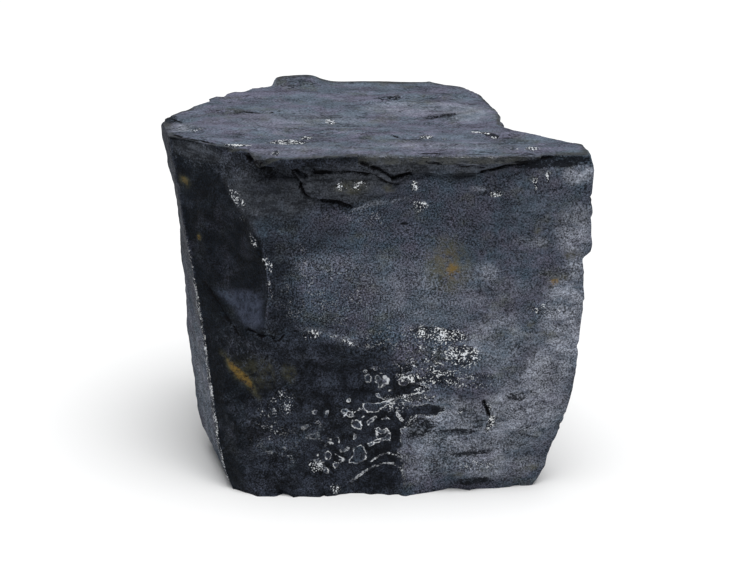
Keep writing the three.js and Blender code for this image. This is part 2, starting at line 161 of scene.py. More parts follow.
# Corners snapped off by flat breaks, as (a point of the break, the direction it faces, how wide it can be).
BREAKS = {
    "front_left_top": ((-79.5, -37.5, 153), (-0.42, -0.62, 0.66), 24),
    "lip_corner": ((-42.5, -58, 153.8), (-0.45, -0.52, 0.72), 34),
    "left_top": ((-90, -6, 152.6), (-0.7, 0.1, 0.7), 20),
    "left_rear_top": ((-82, 9, 153), (-0.55, 0.45, 0.7), 26),
    "back_right_top": ((45, 41, 152), (0.6, 0.35, 0.72), 24),
    "rear_right_top": ((55, 12, 152.4), (0.7, 0.05, 0.71), 22),
    "right_top": ((89.2, -50, 152.6), (0.72, 0.02, 0.69), 16),
    "front_right_top": ((80, -59, 152.6), (0.1, -0.7, 0.7), 26),
    "brow_top": ((34, -58, 154), (0, -0.66, 0.75), 66),
    "left_rear_foot": ((-66, 30, 22), (-0.62, 0.62, -0.48), 400),
    "back_foot": ((6, 58, 12), (0.1, 0.82, -0.56), 400),
    "wing_foot": ((73, -34, 16), (0.78, 0.36, -0.5), 400),
}
BREAK_REACH = 0.6  # how far from its point a break goes, as a share of its width

# Where finer forms and tints set in, in mm: each from where it begins to where it is whole.
WALLS_Y, LEDGES_Y = (-48, -20), (-50, -40)  # the beds and flakes of the hidden walls, and their ledges
LIP_LEFT_X, LIP_RIGHT_X = (-50.8, -49.6), (1, -1.5)  # the two ends of the lip
SLAB_X, SLAB_Z = (-28, -36), (104, 116)  # the slate slab over the dark facet
CRUMBS_X, CRUMBS_Z = (-12, -24), (139, 148)  # the crumbling stone under the left of the brow
CALM_X, CALM_Z = (-10, 0), (75, 65)  # the skin's edge that is torn less than the rest
SMOOTH_X = (10, 60)  # the smoother right of the front
SLATE_Z = (143, 147)  # the slate that reaches over the dark facet
LEFT_DIM_Z, LEFT_CRUST_Z = (60, 112), (140, 80)  # the left face's dark upper part, and its corner's crust
SNAPPED_X = (-81, -85)  # the dark break at the far left

# Where the front's weathered skin has flaked off and the black stone shows, as an outline in (x, height).
BARE = [(-53.8, 76.6), (-46.7, 74.3), (-38.3, 73.4), (-31.5, 77), (-26, 75.2), (-20.2, 72.4), (-13.8, 73.4),
        (-8.8, 68.8), (-4.6, 64.6), (2.2, 63.3), (9.4, 63.7), (14.9, 62.3), (19.2, 60), (14.6, 58.4),
        (12.6, 56.6), (13.4, 54.2), (20.1, 53.5), (24.4, 51.2), (19.3, 48.9), (11.6, 48), (9.9, 45.2),
        (15.9, 43.7), (24.4, 44.2), (31.3, 41.9), (27, 39.1), (19.6, 37.6), (15.4, 34), (12.8, 30.6),
        (11.6, 27.2), (12.8, 23.4), (12.2, 19.6), (13.4, 15.4), (12.8, 11), (15, 5), (14.4, -5), (-70, -5),
        (-76, 44.7), (-60, 78)]
# Islands of skin left on the bare stone, as outlines in (x, height).
ISLANDS = [
    [(-8.4, 22.8), (-6.7, 22.8), (-5, 24.1), (-3.5, 22.4), (-2.9, 19.7), (-2.9, 16.5), (-6.3, 14.8),
     (-10.4, 14.8), (-9.7, 17), (-8, 19.2)],
    [(-4.2, 43.4), (-2.5, 44.3), (1.4, 43.8), (5.6, 44.5), (9.5, 44.5), (10.3, 43.4), (7.3, 43.6),
     (4.3, 41.8), (1.4, 40), (-2.5, 40.2), (-4.2, 42)],
    [(-2, 24.6), (1.8, 26.4), (5.6, 27.3), (6.7, 29.5), (4.8, 31.3), (6.1, 31.7), (7.8, 29.5), (7.8, 25.9),
     (6.1, 26.2), (2.2, 25.3), (-1.6, 23.5)],
    [(-8.9, 35.8), (-6.3, 35.8), (-4.6, 34), (-5, 31.7), (-7.2, 32.2), (-8.9, 33.5)],
    [(-2.7, 34.4), (-1.2, 36.2), (1.4, 38), (1.8, 36.7), (-0.3, 35.3), (-1.8, 33.3)],
    [(-13.6, 40.2), (-11.9, 41.4), (-8.9, 39.8), (-7.2, 37.6), (-10.1, 38)],
    [(-20.8, 19.7), (-19.1, 21), (-17.6, 18.8), (-18.9, 16.3), (-20.2, 17.4)],
    [(-14.6, 21.5), (-12.3, 21.5), (-10.4, 23), (-10.1, 21.9), (-12.3, 20.3), (-14.4, 20.6)],
    [(-17.4, 14.8), (-14.4, 15.4), (-15.1, 13.4), (-15.9, 11.6), (-16.5, 13)],
    [(-24.6, 14.8), (-22.5, 15.2), (-20.4, 13.4), (-19.1, 11.6), (-19.3, 9.8), (-21.2, 10.7), (-22.1, 13)],
    [(9.7, 40.2), (10.5, 40.2), (12, 37.6), (13.7, 35.3), (12.5, 35.3), (10.7, 37.1)],
    [(-25.9, 40.2), (-24.2, 41.1), (-23.4, 39.8), (-25.1, 38.9)],
    [(-20.4, 40.2), (-19.1, 40.5), (-18.7, 38.9), (-20, 38.4)],
    [(-8.2, 29.5), (-7.2, 29.5), (-7, 26.8), (-8, 26.8)],
    [(-11, 44.7), (-9.7, 45.2), (-9.3, 43.8), (-10.6, 43.6)],
    [(-29.8, 28.6), (-27.2, 28.2), (-24.2, 29.5), (-22.5, 26.8), (-25.1, 26.8), (-28.9, 27.3)],
    [(-3.6, 55.8), (-2, 56.8), (-0.4, 55.4), (-0.9, 53.2), (-2.8, 53)],
    [(2.2, 56.8), (4.3, 54.5), (5.6, 54.5), (4.3, 52.3), (3.1, 50.5), (2.2, 53.2), (0.9, 55.4)],
    [(11.2, 55), (13.7, 56.8), (16.3, 55.4), (15, 52.8), (12.5, 52.3), (11.2, 53.2)],
    [(-9.9, 5.2), (-7.8, 7.6), (-2.1, 11.9), (3.1, 14.3), (9.1, 14.8), (13, 11.5), (13.9, 4.2), (13.4, 4.2),
     (12.5, 11.2), (8.9, 14.3), (3.2, 13.8), (-1.8, 11.4), (-7.4, 7.1), (-9.4, 4.7)],
    [(-1, 15.6), (2, 18.4), (6.4, 20.3), (10.6, 19.4), (12.4, 15.8), (12, 15.6), (10.3, 18.9), (6.5, 19.8),
     (2.3, 17.9), (-0.7, 15.2)],
]
# The edge of the dark facet, as a line through (height, x): a slate slab stands to its right, high on the
# front.
FACET_EDGE = [(0, -56), (40, -54), (62, -49), (80, -46), (93, -43), (106, -43.4), (118, -46.3), (125, -51.2),
              (132, -57), (140, -62.5), (154, -66)]
# A lighter patch low on the dark facet.
FACET_PATCH = [(-66.7, 92.2), (-56.8, 93.8), (-45.8, 94.6), (-45, 78), (-51, 75.6), (-54.4, 77), (-57.8, 81),
               (-62.1, 85.6), (-66, 89.2)]
# The dark band under the brow, where the stone broke afresh.
BARE_BROW = [(-78, 160), (-68, 146), (-58, 131), (-51, 124), (-45.2, 126.4), (-36, 127.2), (-24, 130.4),
             (-8.5, 131.5), (4, 138), (12, 143), (20, 146), (42, 147), (52, 150), (62, 152), (70, 160)]

# Open cracks in the front, as lines through (x, height) with how wide and how deep each gapes.
FRONT_CRACKS = [
    ([(-50, 152), (-46.8, 148.1), (-41.9, 149), (-35.8, 147.7), (-32.6, 145.6), (-29.8, 142.1)], 1.1, 2.2),
    ([(-29.8, 142.1), (-28.2, 137.8), (-24.9, 135.2), (-15.5, 134.8), (-8.5, 132.2)], 1.0, 1.2),
    ([(-27.6, 150.7), (-23.5, 147.7), (-11.3, 147.7), (-1.1, 146.8), (5.1, 143.4), (10.4, 141.7)], 0.8, 1.2),
    ([(-4.3, 152), (3, 148.6), (9.2, 145.1), (15.3, 146.8)], 1.1, 1.5),
    ([(43.9, 147.7), (52, 149.8), (62.2, 152), (72.3, 153.4)], 0.8, 1),
    ([(-51, 151.3), (-48.4, 148.3), (-45.9, 147.5), (-41.2, 148.8), (-36.1, 148.4), (-30.6, 147.5),
      (-27.2, 145.3)], 1.0, 2),
    ([(11, 126.1), (13.4, 125.2), (15.8, 124)], 0.6, 0.6),
    ([(18, 152.8), (29, 151.3), (38, 150.8), (47, 149.4)], 0.35, 0.4),
    ([(-71, 92.5), (-67.6, 88.4), (-64, 82.6), (-60, 77.3), (-54.7, 71)], 0.7, 0.7),
    ([(-53, 76.5), (-47.5, 74.6), (-43.5, 74.9), (-40.5, 73.2)], 0.7, 1.2),
    ([(-39.6, 73.4), (-36.5, 76.3), (-31, 77.6)], 0.6, 0.9),
    ([(-48, 62), (-44, 65.4), (-39.6, 63.2), (-37.4, 59.4)], 0.35, 0.6),
    ([(-54, 53.5), (-47, 56.5), (-41.7, 51.7), (-40.5, 44.7)], 0.3, 0.7),
    ([(-9.9, 5.2), (-7.8, 7.6), (-2.1, 11.9), (3.1, 14.3), (9.1, 14.8), (13, 11.5), (13.9, 4.2)], 0.2, 0.5),
    ([(47.5, 44.4), (48.7, 41), (50.2, 36.6)], 1, 1.6),
]

TOP_CRACKS = [
    ([(-89, -1), (-85.3, -8), (-81.4, -10.6)], 0.9, 0.6),
    ([(-80, 1), (-70, 2.5), (-58, 0.5), (-45, -1), (-40, 1.5)], 0.5, 0.5),
    ([(3, 21), (8, 24), (12.1, 29.5)], 0.6, 0.5),
    ([(24.7, -4.7), (30, -1.5), (35.8, 1.1)], 0.5, 0.5),
    ([(8.5, -33.5), (12, -37), (18, -37.4), (24, -35)], 0.9, 0.6),
    ([(-84, -30), (-80, -34), (-72, -38), (-64, -41)], 0.7, 0.4),
    ([(-5, -56.6), (8, -57.5), (30, -57.5), (52, -57.1), (66, -57)], 0.6, 0.2),
]

# Marks on the front, by what they paint: how far noise bends them, then rows of (x, height, radius along,
# radius up, turn in degrees, strength from 0 to 1).
FRONT_MARKS = {
    "bloom": (0.5, [
        (83.6, 121.7, 8, 11, 0, 0.8), (82, 80, 12, 22, 0, 1), (84.3, 145.6, 6.5, 4.5, 0, 1),
        (86, 104, 6, 8, 0, 0.8), (41.8, 25.8, 32, 15, 0, 0.72), (66, 40, 19, 16, 0, 1),
        (32, 40, 18, 7, 0, 0.9), (74, 58, 13, 12, 0, 0.9), (53.7, 72.4, 17, 14, 0, 0.5),
        (71, 134.8, 17, 18, 0, 0.1), (-13.6, 107.6, 26, 4.5, 0, 0.18), (-26, 77, 6, 1.8, 0, 0.5),
        (1.5, 133.6, 11, 1.3, 13, 0.8), (-11.7, 73.4, 8.6, 1.8, -20, 0.4), (43.2, 140.4, 3.9, 1.4, 0, 0.8),
        (55, 11.5, 21, 6.4, 0, 0.6), (20, 15, 14, 8, 0, 0.5), (49.6, 66.9, 7, 2.7, 0, 0.6),
        (24, 95, 28, 16, 0, 0.34), (58, 96, 14, 5, 0, 0.2), (40, 18, 26, 9, 0, 0.55),
        (48, 104, 5, 4, -30, 0.7), (66, 117, 8, 3, 0, 0.5), (-66, 22, 10, 20, -6, 0.2),
    ]),
    "shade": (0.5, [
        (35.3, 30.6, 11, 1.6, 0, 1), (62.8, 46.6, 8, 3, 10, 0.8), (41.9, 19.1, 14, 1.7, 0, 0.9),
        (44.3, 4.7, 9.5, 2.7, 0, 1), (45, 34.8, 3.4, 4, 0, 0.6), (76.9, 139, 13, 2.3, 0, 0.5),
        (74, 151.4, 19, 2.9, 5, 1), (74.6, 96.8, 1.6, 0.8, 0, 0.9), (48.9, 40.5, 1.1, 4, 18, 1),
        (38.6, 41.4, 1.7, 1.4, 0, 1), (13.4, 125.2, 2.6, 0.9, -25, 1), (21.7, 118.6, 0.9, 0.9, 0, 1),
        (20, 33, 8, 5.5, 30, 0.85), (70, 30, 10, 6, 0, 0.45), (52, 22, 16, 4, 0, 0.4),
        (-47, 49.5, 5, 4.5, 0, 0.8), (55, 145, 16, 2.5, 4, 0.6),
    ]),
    "dim": (0.5, [
        (50, 132, 44, 17, 0, 0.25), (12, 132, 26, 12, 0, 0.35), (-28, 120, 22, 10, 0, 0.7),
        (-42, 106, 11, 19, 8, 1), (-38, 86, 10, 18, 0, 1), (-26, 80, 20, 5, 0, 0.6), (-1, 68, 12, 7, 0, 0.8),
        (40, 112, 10, 5, 0, 0.3), (2, 97, 20, 10, 0, 0.15),
    ]),
    "slate": (0.5, [
        (-12, 142, 32, 8, 0, 1), (-34, 137, 16, 11, 10, 0.8), (-50, 132, 12, 16, 0, 0.8),
        (30, 149, 40, 4, 0, 0.9), (-74, 149.5, 16, 3.6, -4, 0.9),
    ]),
    "rust": (0.5, [
        (31.4, 107, 9.5, 12, 0, 0.62), (33.5, 104, 4, 5, 20, 0.85), (75.6, 98.7, 2.1, 1.9, 0, 1),
        (77.4, 99.4, 3.4, 1.6, 10, 0.5), (67.9, 121.7, 1.7, 1.4, 0, 0.6), (73.5, 75.6, 3.9, 1.4, 0, 0.55),
        (66.6, 79.3, 1.7, 1.4, 0, 0.5), (83.2, 110.2, 3.9, 2.3, 0, 0.5), (-45.7, 60, 3.4, 1.4, 0, 0.4),
        (-35.2, 58.2, 3.4, 4, 0, 0.35), (37.8, 9.1, 2.6, 1.8, 0, 0.4), (69, 9.5, 3.4, 1.8, 0, 0.5),
        (7.1, 140.4, 2.6, 1.8, 0, 0.5), (-8, 141, 8, 3, 0, 0.35), (-56.3, 54, 2.7, 11.4, 40, 1),
        (-50, 57, 10, 8, 0, 0.3), (-78.4, 135.5, 2.6, 2.7, 0, 0.7), (-73.7, 112.5, 1.1, 1.4, 0, 1),
    ]),
    "crust": (0.2, [
        (28.5, 65.6, 19, 14.6, 0, 0.42), (28, 76, 14, 3.6, -8, 0.95), (38.5, 66, 8, 6, 0, 0.85),
        (16, 62.5, 8, 4, 0, 0.45), (30, 57, 10, 4, -25, 0.7), (17, 55.6, 11, 2.6, -8, 0.7),
        (19, 47, 11, 2.4, 0, 0.55), (10, 44, 8, 5, 0, 0.5), (27, 55.5, 7, 3.6, -25, 0.7),
        (44, 53, 12, 2.2, 4, 0.5), (8, 74, 20, 8, 0, 0.3), (-44, 33, 8, 10, 0, 0.36),
        (-17.9, 93, 27, 21, 0, 0.27), (-30.2, 107.6, 5.2, 13.7, 0, 0.25), (-26, 75.6, 4, 2.3, 0, 1),
        (-12, 73, 8.6, 1.2, -22, 0.6), (17, 141.3, 1.7, 2.7, 0, 1), (66.9, 142.5, 1, 3.4, 0, 1),
        (71.8, 145, 0.9, 2.7, 0, 1), (50.7, 137.4, 4, 1.5, 0, 0.75), (19.5, 132.6, 3.9, 2.3, 0, 0.8),
        (-13, 141.3, 2.1, 2.7, 0, 0.55), (-5.2, 141.7, 6, 2, 8, 0.6), (50.4, 33.5, 1.7, 4.6, -18, 1),
        (49.9, 41.5, 1.2, 3.4, 20, 0.7), (37.3, 40, 1.3, 1.4, 0, 0.8), (20, 36, 8, 4, 20, 0.35),
        (-38.4, 44.6, 6, 7, 0, 0.5), (-47.5, 39, 2.1, 3.6, 0, 0.5), (-30, 28, 20, 12, 0, 0.2),
        (-44, 24, 12, 9, 0, 0.24), (-16.9, 3.2, 3.2, 2.4, 0, 1), (-24.6, 13.9, 3.9, 4.1, 0, 0.6),
        (-9.8, 39, 3, 1.4, 25, 0.8), (46.4, 13.4, 11, 3.6, 0, 0.45), (72.3, 86, 7.7, 3.6, 0, 0.5),
        (45.6, 56.3, 8.6, 2.3, 0, 0.6), (-3.2, 128.2, 13, 4.5, -15, 0.3), (-56.3, 134.8, 6, 2.3, -48, 0.7),
        (-53.7, 126, 1.3, 1.8, 0, 0.4), (-49.3, 117.3, 1.5, 4, 25, 0.45), (-43.4, 107, 2, 4.1, 20, 0.75),
        (-43, 96.4, 0.9, 5, 10, 0.6),
    ]),
    "rims": (0, [
        (-1.2, 30.6, 20, 26, 0, 1), (11.6, 44.7, 22, 14, 0, 1), (-35.5, 40, 20, 12, 0, 0.5),
        (-18.5, 16.3, 16, 12, 0, 0.9), (6, 56, 20, 7, 0, 0.8), (-38, 16, 18, 8, 0, 0.35),
        (3, 11, 14, 7, 0, 0.75),
    ]),
    "islands": (0.5, [
        (-2, 32, 16, 14, 0, 0.42), (-18, 18, 16, 11, 0, 0.42), (10, 49, 14, 7, 0, 0.52),
        (6, 57, 16, 5, 0, 0.52), (-38, 41, 10, 6, 20, 0.4), (6, 36, 8, 8, 0, 0.42), (-36, 20, 16, 10, 0, 0.4),
        (-24, 34, 10, 8, 0, 0.4),
    ]),
    "mottle": (0.5, [
        (-42, 26, 34, 24, 0, 0.36), (-22, 24, 30, 18, 0, 0.3), (-70, 148, 24, 6, -6, 0.8),
        (-44, 148, 10, 4, 0, 0.5), (-52, 66, 16, 14, 0, 0.6),
    ]),
}

# Marks on the top, in the same way, with (x, y).
TOP_MARKS = {
    "crust": (0, [
        (-18, -10.3, 2.6, 3, 30, 1), (-35, -40, 9, 4, 0, 1), (-27.6, -34, 3, 2.5, 20, 1),
        (-56, -43.5, 7, 2.4, -6, 1), (-39.6, -53.9, 2, 5, 0, 0.7), (22.5, -34.5, 3.4, 2.4, 0, 1),
        (46.2, -28, 5, 1.6, -22, 1), (30, -36, 3, 1.4, 0, 0.6), (51.5, -33.4, 2.2, 1.3, 20, 1),
        (65.7, -49.7, 3.4, 2.4, 0, 0.9), (-75.5, -22.3, 5, 4, 0, 0.45), (58, -50, 3, 2, 0, 0.5),
    ]),
    "shade": (0, [
        (30, -1.1, 9, 3.6, 20, 0.9), (49.6, -30.6, 5, 2.6, -35, 1), (8, 24, 10, 3, 14, 0.7),
        (-62, 0, 18, 2, 0, 0.5), (-4, -30, 7, 4, 0, 0.35), (16, 17, 8, 2, -10, 0.5), (-87, -8, 4, 6, 0, 0.9),
        (26, 6, 6, 1.4, 0, 0.4), (-20, 30, 14, 1.6, 0, 0.3), (-50, 20, 12, 1.6, 5, 0.25),
        (2, 34, 5, 2, 0, 0.5),
    ]),
    "bloom": (0.5, [
        (-82, -19, 7, 6, 0, 0.9), (-31.4, -10.3, 30, 14, 0, 0.25), (27.8, -46.9, 30, 5.8, 0, 0.3),
        (20, 10, 24, 12, 0, 0.4), (-30, -52, 18, 6, 0, 0.25), (40, 4, 12, 14, 0, 0.5),
    ]),
}

# ---------------------------------------------------------------------------------------------------
# The mesh's values
# ---------------------------------------------------------------------------------------------------

COLUMNS = 184  # across the front and the back
RANKS = 70  # from the front to the back
LEVELS = np.concatenate([np.linspace(0, 132, 118, endpoint=False), np.linspace(132, TOP, 49)])
RIM_RANKS = 12  # so many ranks of the top follow its front rim
LEFT_FACE_TO = 0.45  # the light left face ends at this share of the way back
TOP_WIDE, TOP_DEEP = 150, 110  # about the size of the top, for the distance from its rim
BED_EDGE = 0.5  # half the height over which one bed passes into the next
WEAR = 0.22  # how far the edges wear towards their neighbours' middle
FAR = 9.0  # a distance, in mm or in crack widths, past which nothing is painted
SHARP_ANGLE = 34  # degrees from which an edge is sharp

# Where each face of the block lies on the flat map, as (left, bottom, width, height).
CHARTS = {
    "front": (0.003, 0.003, 0.534, 0.494),
    "right": (0.543, 0.003, 0.224, 0.494),
    "left": (0.773, 0.003, 0.224, 0.494),
    "top": (0.003, 0.503, 0.534, 0.354),
    "back": (0.543, 0.503, 0.454, 0.354),
    "base": (0.003, 0.863, 0.534, 0.134),
}

# ---------------------------------------------------------------------------------------------------
# The finish's values
# ---------------------------------------------------------------------------------------------------

# The masks that the mesh carries for the finish.
MASKS = [
    "skin", "isle", "crack", "on_bed", "facet", "patch", "islands", "slate", "rim_of_top", "bloom", "shade",
    "dim", "rust", "crust", "rims", "smooth", "mottle", "edge_wear_and_hollow_shade",
]

# Colours, as red, green and blue.
SKIN_TEAL = (0.040, 0.058, 0.079)
SKIN_VIOLET = (0.062, 0.062, 0.085)
SKIN_OLIVE = (0.060, 0.066, 0.060)
SKIN_DIM = (0.010, 0.0125, 0.018)
BED_TEAL = (0.069, 0.087, 0.112)
BED_VIOLET = (0.087, 0.087, 0.121)
RIM_OLIVE = (0.030, 0.031, 0.027)
BLOOM = (0.230, 0.245, 0.286)
BLACK_DEEP = (0.0035, 0.0045, 0.0068)
BLACK_GREY = (0.020, 0.024, 0.0345)
SLATE = (0.049, 0.054, 0.064)
MOTTLE_GREY = (0.048, 0.055, 0.070)
FACET_BLACK = (0.0037, 0.0054, 0.0084)
PATCH_BLUE = (0.060, 0.071, 0.108)
# painted shade: the near-black laid into the cracks and the gaping seams, where shadow falls in them
CRACK_SHADE = (0.002, 0.002, 0.003)
EDGE_WORN = (0.09, 0.095, 0.11)
RUST_OLIVE = (0.088, 0.085, 0.048)
RUST_ORANGE = (0.172, 0.112, 0.030)
CRUST_COOL = (0.74, 0.78, 0.86)
CRUST_WARM = (0.72, 0.73, 0.71)

# Noise patterns, with so many cells to a millimetre. Scale and shift move the place first, so that patterns
# are drawn out and don't follow each other. Span is where the noise eases from and to, and then onto which
# values.
PATTERNS = {
    "skin tint": {"cells": 0.05, "detail": 8, "roughness": 0.75, "span": (0.36, 0.64)},
    "bed tint": {"cells": 0.08, "detail": 8, "roughness": 0.75, "scale": (0.7, 1.3, 1), "span": (0.4, 0.6)},
    "olive": {"cells": 0.08, "detail": 8, "roughness": 0.72, "scale": (1, 1, 1.4), "shift": (5, 0, 0),
              "span": (0.5, 0.68, 0, 0.7)},
    "bloom clouds": {"cells": 0.2, "detail": 6, "roughness": 0.78, "scale": (0.6, 0.6, 1.1),
                     "span": (0.28, 0.66)},
    "dim patches": {"cells": 0.2, "detail": 4, "roughness": 0.7, "span": (0.25, 0.6, 0.55, 1)},
    "island spread": {"cells": 0.13, "detail": 1, "shift": (9, 0, 0)},
    "isle edge": {"cells": 0.8, "detail": 3, "roughness": 0.7},
    "rim breaks": {"cells": 0.3, "detail": 3, "roughness": 0.7, "span": (0.43, 0.55, 0.08, 1)},
    "black tint": {"cells": 0.14, "detail": 6, "roughness": 0.75, "span": (0.38, 0.64)},
    "slate patches": {"cells": 0.15, "detail": 4, "roughness": 0.7, "span": (0.3, 0.6, 0.5, 1)},
    "mottle spots": {"cells": 0.4, "detail": 5, "roughness": 0.8, "shift": (0, 20, 0), "span": (0.48, 0.64)},
    "patch streaks": {"cells": 0.5, "detail": 5, "roughness": 0.8, "scale": (1, 1, 0.7),
                      "span": (0.25, 0.75)},
    "top rim": {"cells": 0.3, "detail": 3, "span": (0.3, 0.6, 0.3, 0.8)},
    "dashes": {"cells": 0.45, "detail": 5, "roughness": 0.7, "scale": (0.35, 0.35, 1.3), "shift": (0, 0, 90)},
    "pepper": {"cells": 1, "detail": 3, "roughness": 0.8, "scale": (0.7, 0.7, 1.1), "shift": (0, 50, 0)},
    "rust patches": {"cells": 0.3, "detail": 5, "roughness": 0.75, "span": (0.34, 0.62)},
    "crack edge": {"cells": 0.7, "detail": 4, "roughness": 0.75},
    "crack reach": {"cells": 0.16, "detail": 1},
    "crust tint": {"cells": 0.2, "detail": 2},
    "roughness": {"cells": 0.35, "detail": 3, "span": (0.3, 0.7, 0.66, 0.84)},
}

# ---------------------------------------------------------------------------------------------------
# The studio's values
# ---------------------------------------------------------------------------------------------------

FLOOR_REACH = 6.0  # metres from the stone to each side of the floor
PAPER_GREY = (0.62, 0.62, 0.62)
PAPER_ROUGHNESS = 0.9
LIGHT_SPREAD = 50  # degrees across: a broad, soft light from above
LIGHT_STRENGTH = 4.6
LIGHT_WAY = (-0.12, 0.22, -1)  # the way it shines
SKY_WHITE = (0.96, 0.98, 1)
SKY_STRENGTH = 0.35  # as it lights the stone
SKY_SEEN = 1.05  # as it is seen behind the stone
CAMERA_AIM = (0.002, 0.001, 0.075)
CAMERA_FAR = 0.9  # metres from where it aims
CAMERA_TILT = 21  # degrees down
SENSOR_WIDTH = 36
LENS_LENGTH = 95.36424

# ---------------------------------------------------------------------------------------------------
# Small tools on whole arrays
# ---------------------------------------------------------------------------------------------------


def ease(low, high, value):
    """0 below low, 1 above high, and a smooth S between them. With low above high it falls instead of
    rising."""
    t = np.clip((value - low) / (high - low), 0, 1)
    return t * t * (3 - 2 * t)


def lattice(ix, iy, iz, seed):
    """A repeatable number from -1 to 1 for each whole-number point: its three numbers are mixed as bits."""
    mixed = (ix * 374761393 + iy * 668265263 + iz * 1274126177 + seed * 974634777) & 0xFFFFFFFF
    mixed = ((mixed ^ (mixed >> 13)) * 1103515245) & 0xFFFFFFFF
    mixed = ((mixed ^ (mixed >> 15)) * 12820163) & 0xFFFFFFFF
    return (mixed ^ (mixed >> 16)) / 2147483647.5 - 1


def noise(points, size, seed):
    """Smooth noise: the lattice numbers at a cell's eight corners, blended by an S curve along each
    axis."""
    scaled = points / np.asarray(size, float)
    cell = np.floor(scaled).astype(np.int64)
    part = ease(0, 1, scaled - cell)
    total = 0
    for dx, dy, dz in itertools.product((0, 1), repeat=3):
        share = abs(1 - dx - part[:, 0]) * abs(1 - dy - part[:, 1]) * abs(1 - dz - part[:, 2])
        total = total + share * lattice(cell[:, 0] + dx, cell[:, 1] + dy, cell[:, 2] + dz, seed)
    return total


def layered(points, size, seed, layers):
    """Noise on noise: each layer is half the size of the last and half its height."""
    size = np.asarray(size, float)
    parts = [0.5**i * noise(points, size / 2**i, seed + i) for i in range(layers)]
    return sum(parts) / sum(0.5**i for i in range(layers))


def creased(points, size, seed):
    """Sharp crests between rounded hollows: one minus twice the size of each of three layers of noise."""
    size = np.asarray(size, float)
    parts = [0.5**i * (1 - 2 * np.abs(noise(points, size / 2**i, seed + i))) for i in range(3)]
    return sum(parts) / sum(0.5**i for i in range(3))


def stepped(points, size, seed):
    """Flats at -1 and 1 with steep risers between them: the hyperbolic tangent of four times the noise."""
    return np.tanh(4 * noise(points, size, seed))


def terraced(levels, riser):
    """Whole levels, each reached by a riser that takes up a small part of it."""
    return np.floor(levels) + ease(0, riser, levels % 1)


def scooped(points, size, seed):
    """Shallow scoops that meet at crisp crests: the squared distance to the nearest of the points scattered
    one to a cell, in cell sizes, each lowered by its own amount. It is 0 in a scoop's middle, about 1 on a
    crest."""
    scaled = points / np.asarray(size, float)
    cell = np.floor(scaled).astype(np.int64)
    least = np.full(len(points), 9.0)
    for step in itertools.product((-1, 0, 1), repeat=3):
        at = [cell[:, k] + step[k] for k in range(3)]
        jitter = [0.45 * lattice(*at, seed + k) for k in range(4)]
        away = [at[k] + 0.5 + jitter[k] - scaled[:, k] for k in range(3)]
        least = np.minimum(least, away[0] ** 2 + away[1] ** 2 + away[2] ** 2 + 0.5 * jitter[3] + 0.22)
    return least


def distance_to_stretch(u, v, start, end):
    """Distance to a straight stretch: to the nearest point of its line that lies between its ends."""
    (u0, v0), (u1, v1) = start, end
    du, dv = u1 - u0, v1 - v0
    share = np.clip(((u - u0) * du + (v - v0) * dv) / (du * du + dv * dv), 0, 1)
    return np.hypot(u - u0 - share * du, v - v0 - share * dv)


def distance_to_line(u, v, line):
    """Distance to a broken line: the least distance to any of its straight stretches."""
    return np.min([distance_to_stretch(u, v, start, end) for start, end in zip(line, line[1:])], axis=0)


def inside_outline(u, v, outline):
    """Signed distance to a closed outline, positive inside: the distance to its line, signed by whether a
    ray along U crosses it an odd number of times."""
    closed = [*outline, outline[0]]
    crossings = np.zeros(u.shape, int)
    for (u0, v0), (u1, v1) in zip(closed, closed[1:]):
        if v1 != v0:
            crosses = (v0 <= v) != (v1 <= v)
            crossings += crosses & (u < u0 + (v - v0) * (u1 - u0) / (v1 - v0))
    return np.where(crossings % 2 == 1, 1, -1) * distance_to_line(u, v, closed)


def marked(u, v, marks):
    """How strongly the nearest mark colours each point: its strength, which fades from 0.45 to 1.35
    radii."""
    most = np.zeros_like(u)
    for centre_u, centre_v, radius_u, radius_v, turn, strength in marks:
        cos, sin = math.cos(math.radians(turn)), math.sin(math.radians(turn))
        along = (u - centre_u) * cos + (v - centre_v) * sin
        across = (v - centre_v) * cos - (u - centre_u) * sin
        most = np.maximum(most, strength * ease(1.35, 0.45, np.hypot(along / radius_u, across / radius_v)))
    return most


def neighbours(quads):
    """The two ends of each edge of each quad, every pair both ways round."""
    pairs = np.concatenate([quads[:, [corner, (corner + 1) % 4]] for corner in range(4)])
    return np.concatenate([pairs, pairs[:, ::-1]]).T


# ---------------------------------------------------------------------------------------------------
# The stone's form
# ---------------------------------------------------------------------------------------------------


def side_line(side, along, height):
    """A side of the plan: a broken line through its corners, each corner moved to where it is at that
    height."""
    knots = np.array([share for _, share in SIDES[side]], float)
    tables = [np.transpose(CORNERS[name]) for name, _ in SIDES[side]]
    corners = np.array([[np.interp(height, rows[0], rows[axis]) for rows in tables] for axis in (1, 2)]).T
    stretch = np.clip(np.searchsorted(knots, along, "right") - 1, 0, len(knots) - 2)
    share = (along - knots[stretch]) / (knots[stretch + 1] - knots[stretch])
    point = np.arange(len(along))
    start, end = corners[point, stretch], corners[point, stretch + 1]
    return start + (end - start) * share[:, None]


def plan_point(u, v, height):
    """Coons' patch: the blend of front and back lines, plus the blend of left and right lines, less the
    blend of the four corners. On a side it is that side's own line."""
    zero, one = np.zeros_like(u), np.ones_like(u)
    front, back = side_line("front", u, height), side_line("back", u, height)
    left, right = side_line("left", v, height), side_line("right", v, height)
    front_left, front_right = side_line("front", zero, height), side_line("front", one, height)
    back_left, back_right = side_line("back", zero, height), side_line("back", one, height)
    u, v = u[:, None], v[:, None]
    corners = (1 - v) * ((1 - u) * front_left + u * front_right) + v * ((1 - u) * back_left + u * back_right)
    return (1 - v) * front + v * back + (1 - u) * left + u * right - corners


